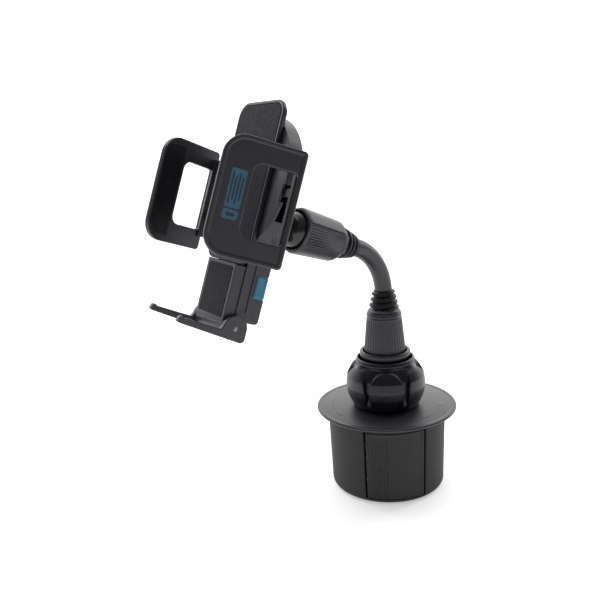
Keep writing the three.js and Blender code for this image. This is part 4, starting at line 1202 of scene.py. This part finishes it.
def build_buttons():
    """Button: a key with a wide bevel round a slightly dished face, on a retaining flange."""
    for side, sign in (("near", 1), ("far", -1)):
        low, high = FACE.span(f"release_button_{side}")
        x, z = (low[0], high[0] - 1.4), (low[2] + 1.7, high[2] - 1.7)
        outer = max(abs(low[1]), abs(high[1]))
        outline = lambda inset: rounded(x, z, [0.9] * 4, inset, steps=6)
        profile = [
            (0, 11.6), (0, outer - 0.8), (0, outer - 0.7), (0.15, outer - 0.4), (1.0, outer - 0.04),
            (1.2, outer), (1.4, outer), (1.6, outer - 0.2), (1.9, outer - 0.25)
        ]
        rings = stack(outline, profile, XZY)
        rings[..., 1] *= sign
        flange = lambda inset: rounded(
            (x[0] + 2.4, x[1] + 1.4), (z[0] - 1.7, z[1] + 1.7), [0.5] * 4, inset, steps=4
        )
        back = stack(flange, slab(outer - 5.4, outer - 3.6, 0.2, 0.2, 2), XZY)
        back[..., 1] *= sign
        make(
            f"button_{side}", [shell(rings), shell(back)], FACE, f"{side}_button",
            finish("button_blue"), [f"release_button_{side}"]
        )


# ---- Screws and plates ---------------------------------------------------------------
def screw_shell(centre, radius, head_low, head_high, outward):
    """Pan head with a cross recess: a domed disc whose height falls inside two crossed bars."""
    share = np.concatenate([[0.001], np.linspace(0.04, 0.86, 22), np.linspace(0.9, 1, 5)])
    angle = np.linspace(0, 2 * math.pi, 96, endpoint=False)
    u = radius * share[:, None] * np.cos(angle)
    v = radius * share[:, None] * np.sin(angle)
    dome = head_high - (head_high - head_low) * 0.55 * share[:, None] ** 4 + 0 * u
    arm = 0.62 * radius
    cross = np.maximum(
        smooth_step(
            0.26 * radius - np.abs(u), -0.08, 0.08
        ) * smooth_step(arm - np.abs(v), -0.1, 0.1),
        smooth_step(
            0.26 * radius - np.abs(v), -0.08, 0.08
        ) * smooth_step(arm - np.abs(u), -0.1, 0.1),
    )
    height = dome - 0.45 * cross
    top = np.stack([u, v, height], -1)
    foot = np.stack([u[-1] * 0.999, v[-1] * 0.999, np.full(len(angle), head_low)], -1)
    points = np.concatenate([top, foot[None]])
    points[..., 2] *= outward
    return points + np.array([*centre, 0])


def build_screws():
    for index in range(1, 5):
        node = f"housing_screw_{index}"
        low, high = FACE.span(node)
        centre = ((low[1] + high[1]) / 2, (low[2] + high[2]) / 2)
        points = screw_shell((0, 0), 2.5, -(low[0] + 1.1), -low[0], -1)
        placed = np.stack(
            [points[..., 2], points[..., 0] + centre[0], points[..., 1] + centre[1]], -1
        )
        shank = turned(
            [
                (0.01, low[0] + 0.5), (1.25, low[0] + 0.5), (1.25, high[0] - 0.6), (0.6, high[0]),
                (0.01, high[0])
            ],
            24, axis=0, centre=centre
        )
        make(
            f"case_screw_{index}", [shell(placed), shell(shank, caps=False)], FACE, "cradle",
            finish("plated_steel"), [node]
        )
    for index in range(1, 4):
        node = f"bottom_screw_{index}"
        low, high = BASE.span(node)
        centre = (np.array(low) + high)[:2] / 2
        points = screw_shell(centre, 3.0, -(low[2] + 0.7), -low[2], -1)
        shank = turned(
            [
                (0.01, low[2] + 0.5), (1.7, low[2] + 0.5), (1.7, high[2] - 0.8), (0.9, high[2]),
                (0.01, high[2])
            ],
            24, centre=centre
        )
        make(
            f"floor_screw_{index}", [shell(points), shell(shank, caps=False)], BASE, "base",
            finish("plated_steel"), [node]
        )


def build_bottom():
    """Bottom plate: a turned disc with a soft rim, a raised ring and three countersinks."""
    high = BASE.span("bottom_plate")[1]
    radius, top = high[0], high[2]
    profile = [
        (0.01, 0), (8, 0), (8.4, 0.25), (9.2, 0.25), (9.6, 0), (radius - 0.5, 0),
        (radius - 0.15, 0.12), (radius, 0.5), (radius, top), (0.01, top)
    ]
    plate = mesh_object("base_plate", [shell(turned(profile, 144), caps=False)], BASE)
    sinks = []
    for index in range(1, 4):
        screw_low, screw_high = BASE.span(f"bottom_screw_{index}")
        centre = (np.array(screw_low) + screw_high)[:2] / 2
        sink = [(0.01, -1), (3.3, -1), (3.3, 1), (2, 1), (2, top + 1), (0.01, top + 1)]
        sinks.append(
            mesh_object("sink", [shell(turned(sink, 48, centre=centre), caps=False)], BASE)
        )
    cut(plate, sinks)
    finish_piece(plate, "base", finish("matt_black"), ["bottom_plate"], sharp=28)


# ---- CAD pieces that stay ------------------------------------------------------------
KEPT = {
    "plated_steel": [
        "centre_post", "post_screw", "swivel_clip", "lower_ferrule", "upper_ferrule",
        "gooseneck_core", "pinion_shaft", "arm_spring", "button_spring_near",
        "button_spring_far", "pawl_spring",
    ],
    "nylon": ["cam_disc", "friction_seat", "arm_pinion", "release_pawl"],
    "satin_black": ["cam_spindle", "ball_socket"],
}


def dress_kept_nodes():
    """Materials for the inner pieces whose own shape is already fine enough to stay."""
    for material, nodes in KEPT.items():
        for node in nodes:
            kept = frame["nodes"][node]
            kept.data.materials.clear()
            kept.data.materials.append(finish(material))


# ---- Stage ---------------------------------------------------------------------------
CAMERA_PLACE = (-0.06139, -0.41655, 0.21972)
CAMERA_YAW, CAMERA_PITCH, CAMERA_ROLL = 1.50, 13.46, -3.00
CAMERA_LENS = 42.76
SENSOR = 36.0


def build_camera():
    yaw, pitch, roll = (math.radians(a) for a in (CAMERA_YAW, CAMERA_PITCH, CAMERA_ROLL))
    forward = Vector(
        (math.sin(yaw) * math.cos(pitch), math.cos(yaw) * math.cos(pitch), -math.sin(pitch))
    )
    level = Vector((math.cos(yaw), -math.sin(yaw), 0))
    right = level * math.cos(roll) + level.cross(forward) * math.sin(roll)
    upward = right.cross(forward)
    data = bpy.data.cameras.new("camera")
    data.lens = CAMERA_LENS
    data.sensor_width = SENSOR
    data.dof.use_dof = False
    camera = bpy.data.objects.new("camera", data)
    camera.matrix_world = Matrix.Translation(CAMERA_PLACE) @ Matrix(
        (right, upward, -forward)
    ).transposed().to_4x4()
    bpy.context.scene.collection.objects.link(camera)
    bpy.context.scene.camera = camera


def area_light(name, place, target, size, power):
    data = bpy.data.lights.new(name, "AREA")
    data.shape = "RECTANGLE"
    data.size, data.size_y = size
    data.energy = power
    light = bpy.data.objects.new(name, data)
    light.location = place
    light.rotation_mode = "QUATERNION"
    light.rotation_quaternion = (Vector(target) - Vector(place)).to_track_quat("-Z", "Y")
    bpy.context.scene.collection.objects.link(light)


FLOOR_HALF = 6.0
FLOOR_LEVEL = -0.0004
FLOOR_GLOW = 0.45
SUN_ENERGY = 0.7
SUN_SPREAD = math.radians(40)
SUN_DIRECTION = (0.25, 0.1, -1)
STRIP_AIM = (-0.03, -0.03, 0.12)
STRIP_SIZE = (0.08, 0.7)
# name, place, watts
STRIPS = (("left_strip", (-0.6, 0.45, 0.6), 1.0), ("right_strip", (0.65, 0.3, 0.55), 1.5))
# axis, where the ramp starts and ends, and the light there: bright behind, a little from above
RAMPS = (("Y", 0.0, 0.8, 0.1, 2.0), ("Z", 0.45, 0.95, 0.0, 0.25))


def build_stage():
    """Pale floor that glows a little, white surroundings and soft lights."""
    half, level = FLOOR_HALF, FLOOR_LEVEL
    mesh = bpy.data.meshes.new("floor")
    mesh.from_pydata(
        [(-half, -half, level), (half, -half, level), (half, half, level), (-half, half, level)],
        [], [(0, 1, 2, 3)]
    )
    floor = bpy.data.objects.new("floor", mesh)
    bpy.context.scene.collection.objects.link(floor)
    recipe = Recipe("pale_floor")
    recipe.colours(recipe.noise(60, 2), (0.92, 0.92, 0.92), (0.94, 0.94, 0.94))
    recipe.shader.inputs["Roughness"].default_value = 0.9
    recipe.shader.inputs["Specular IOR Level"].default_value = 0.1
    recipe.shader.inputs["Emission Color"].default_value = (1, 1, 1, 1)
    recipe.shader.inputs["Emission Strength"].default_value = FLOOR_GLOW
    mesh.materials.append(recipe.material)
    build_surroundings()
    bpy.context.scene.view_settings.view_transform = "Standard"
    sun = bpy.data.objects.new("overhead", bpy.data.lights.new("overhead", "SUN"))
    sun.data.energy = SUN_ENERGY
    sun.data.angle = SUN_SPREAD
    sun.rotation_mode = "QUATERNION"
    sun.rotation_quaternion = Vector(SUN_DIRECTION).to_track_quat("-Z", "Y")
    bpy.context.scene.collection.objects.link(sun)
    for name, place, watts in STRIPS:
        area_light(name, place, STRIP_AIM, STRIP_SIZE, watts)


def build_surroundings():
    """Surroundings that the camera sees as white; as light they are bright behind and dim in front."""
    world = bpy.data.worlds.new("surroundings")
    world.use_nodes = True
    tree = world.node_tree
    background = tree.nodes["Background"]
    direction = tree.nodes.new("ShaderNodeTexCoord").outputs["Generated"]
    split = tree.nodes.new("ShaderNodeSeparateXYZ")
    tree.links.new(direction, split.inputs["Vector"])
    levels = []
    for axis, start, end, low, high in RAMPS:
        level = tree.nodes.new("ShaderNodeMapRange")
        values = dict(zip(("From Min", "From Max", "To Min", "To Max"), (start, end, low, high)))
        for socket, value in values.items():
            level.inputs[socket].default_value = value
        tree.links.new(split.outputs[axis], level.inputs["Value"])
        levels.append(level.outputs["Result"])
    total = tree.nodes.new("ShaderNodeMath")
    total.operation = "ADD"
    for socket, level in zip(total.inputs, levels):
        tree.links.new(level, socket)
    seen = tree.nodes.new("ShaderNodeMath")
    seen.operation = "MAXIMUM"
    tree.links.new(total.outputs["Value"], seen.inputs[0])
    tree.links.new(tree.nodes.new("ShaderNodeLightPath").outputs["Is Camera Ray"], seen.inputs[1])
    background.inputs["Color"].default_value = (1, 1, 1, 1)
    tree.links.new(seen.outputs["Value"], background.inputs["Strength"])
    bpy.context.scene.world = world


# ---- Operators -----------------------------------------------------------------------
class StageOperator(bpy.types.Operator):
    """Make the floor, lights and camera"""

    bl_idname = "phone_mount.stage"
    bl_label = "Stage"

    def execute(self, context):
        build_camera()
        build_stage()
        return {"FINISHED"}


class CupOperator(bpy.types.Operator):
    """Make the cup, its grip segments, its bottom plate and the flange"""

    bl_idname = "phone_mount.cup"
    bl_label = "Cup and flange"

    def execute(self, context):
        build_cup()
        for name, direction in SEGMENTS.items():
            build_segment(name, direction)
        build_bottom()
        build_flange()
        return {"FINISHED"}


class KnobOperator(bpy.types.Operator):
    """Make the lobed knob"""

    bl_idname = "phone_mount.knob"
    bl_label = "Knob"

    def execute(self, context):
        build_knob()
        return {"FINISHED"}


class NeckOperator(bpy.types.Operator):
    """Make the collar, the sleeve, the jacket and the two boots"""

    bl_idname = "phone_mount.neck"
    bl_label = "Neck"

    def execute(self, context):
        build_collar()
        build_sleeve()
        build_jacket()
        build_boots()
        return {"FINISHED"}


class BallOperator(bpy.types.Operator):
    """Make the ball nut, the ball and the stud's retainer"""

    bl_idname = "phone_mount.ball"
    bl_label = "Ball joint"

    def execute(self, context):
        build_nut()
        build_ball()
        build_retainer()
        return {"FINISHED"}


class CradleOperator(bpy.types.Operator):
    """Make the housings, the front plate and the pads"""

    bl_idname = "phone_mount.cradle"
    bl_label = "Cradle"

    def execute(self, context):
        build_housing()
        build_cover()
        build_plate()
        build_pads()
        return {"FINISHED"}


class ArmOperator(bpy.types.Operator):
    """Make the two side arms and the printed patch"""

    bl_idname = "phone_mount.arms"
    bl_label = "Arms"

    def execute(self, context):
        build_arm("near", FACE)
        build_arm("far", FAR)
        build_patch()
        return {"FINISHED"}


class StemOperator(bpy.types.Operator):
    """Make the stem, the feet, their pin and the release buttons"""

    bl_idname = "phone_mount.stem"
    bl_label = "Stem and feet"

    def execute(self, context):
        build_stem()
        build_feet()
        build_buttons()
        return {"FINISHED"}


class ScrewOperator(bpy.types.Operator):
    """Make the screws and give the kept CAD pieces their finishes"""

    bl_idname = "phone_mount.screws"
    bl_label = "Screws and inner pieces"

    def execute(self, context):
        build_screws()
        dress_kept_nodes()
        return {"FINISHED"}


OPERATORS = [
    StageOperator, CupOperator, KnobOperator, NeckOperator, BallOperator, CradleOperator,
    ArmOperator, StemOperator, ScrewOperator,
]


class MountPanel(bpy.types.Panel):
    """Lists the sizes, the colours and the pieces that can be made"""

    bl_label = "Phone mount"
    bl_idname = "VIEW3D_PT_phone_mount"
    bl_space_type = "VIEW_3D"
    bl_region_type = "UI"
    bl_category = "Phone mount"

    def draw(self, context):
        for group in (context.scene.mount_sizes, context.scene.mount_colours):
            for name in group.__annotations__:
                self.layout.prop(group, name)
        for operator in OPERATORS:
            self.layout.operator(operator.bl_idname)


CLASSES = [MountSizes, MountColours, *OPERATORS, MountPanel]


def register():
    for item in CLASSES:
        bpy.utils.register_class(item)
    bpy.types.Scene.mount_sizes = bpy.props.PointerProperty(type=MountSizes)
    bpy.types.Scene.mount_colours = bpy.props.PointerProperty(type=MountColours)


def unregister():
    del bpy.types.Scene.mount_colours
    del bpy.types.Scene.mount_sizes
    for item in reversed(CLASSES):
        bpy.utils.unregister_class(item)


def main():
    register()
    for operator in OPERATORS:
        getattr(bpy.ops.phone_mount, operator.bl_idname.split(".")[1])()


if __name__ == "__main__":
    main()
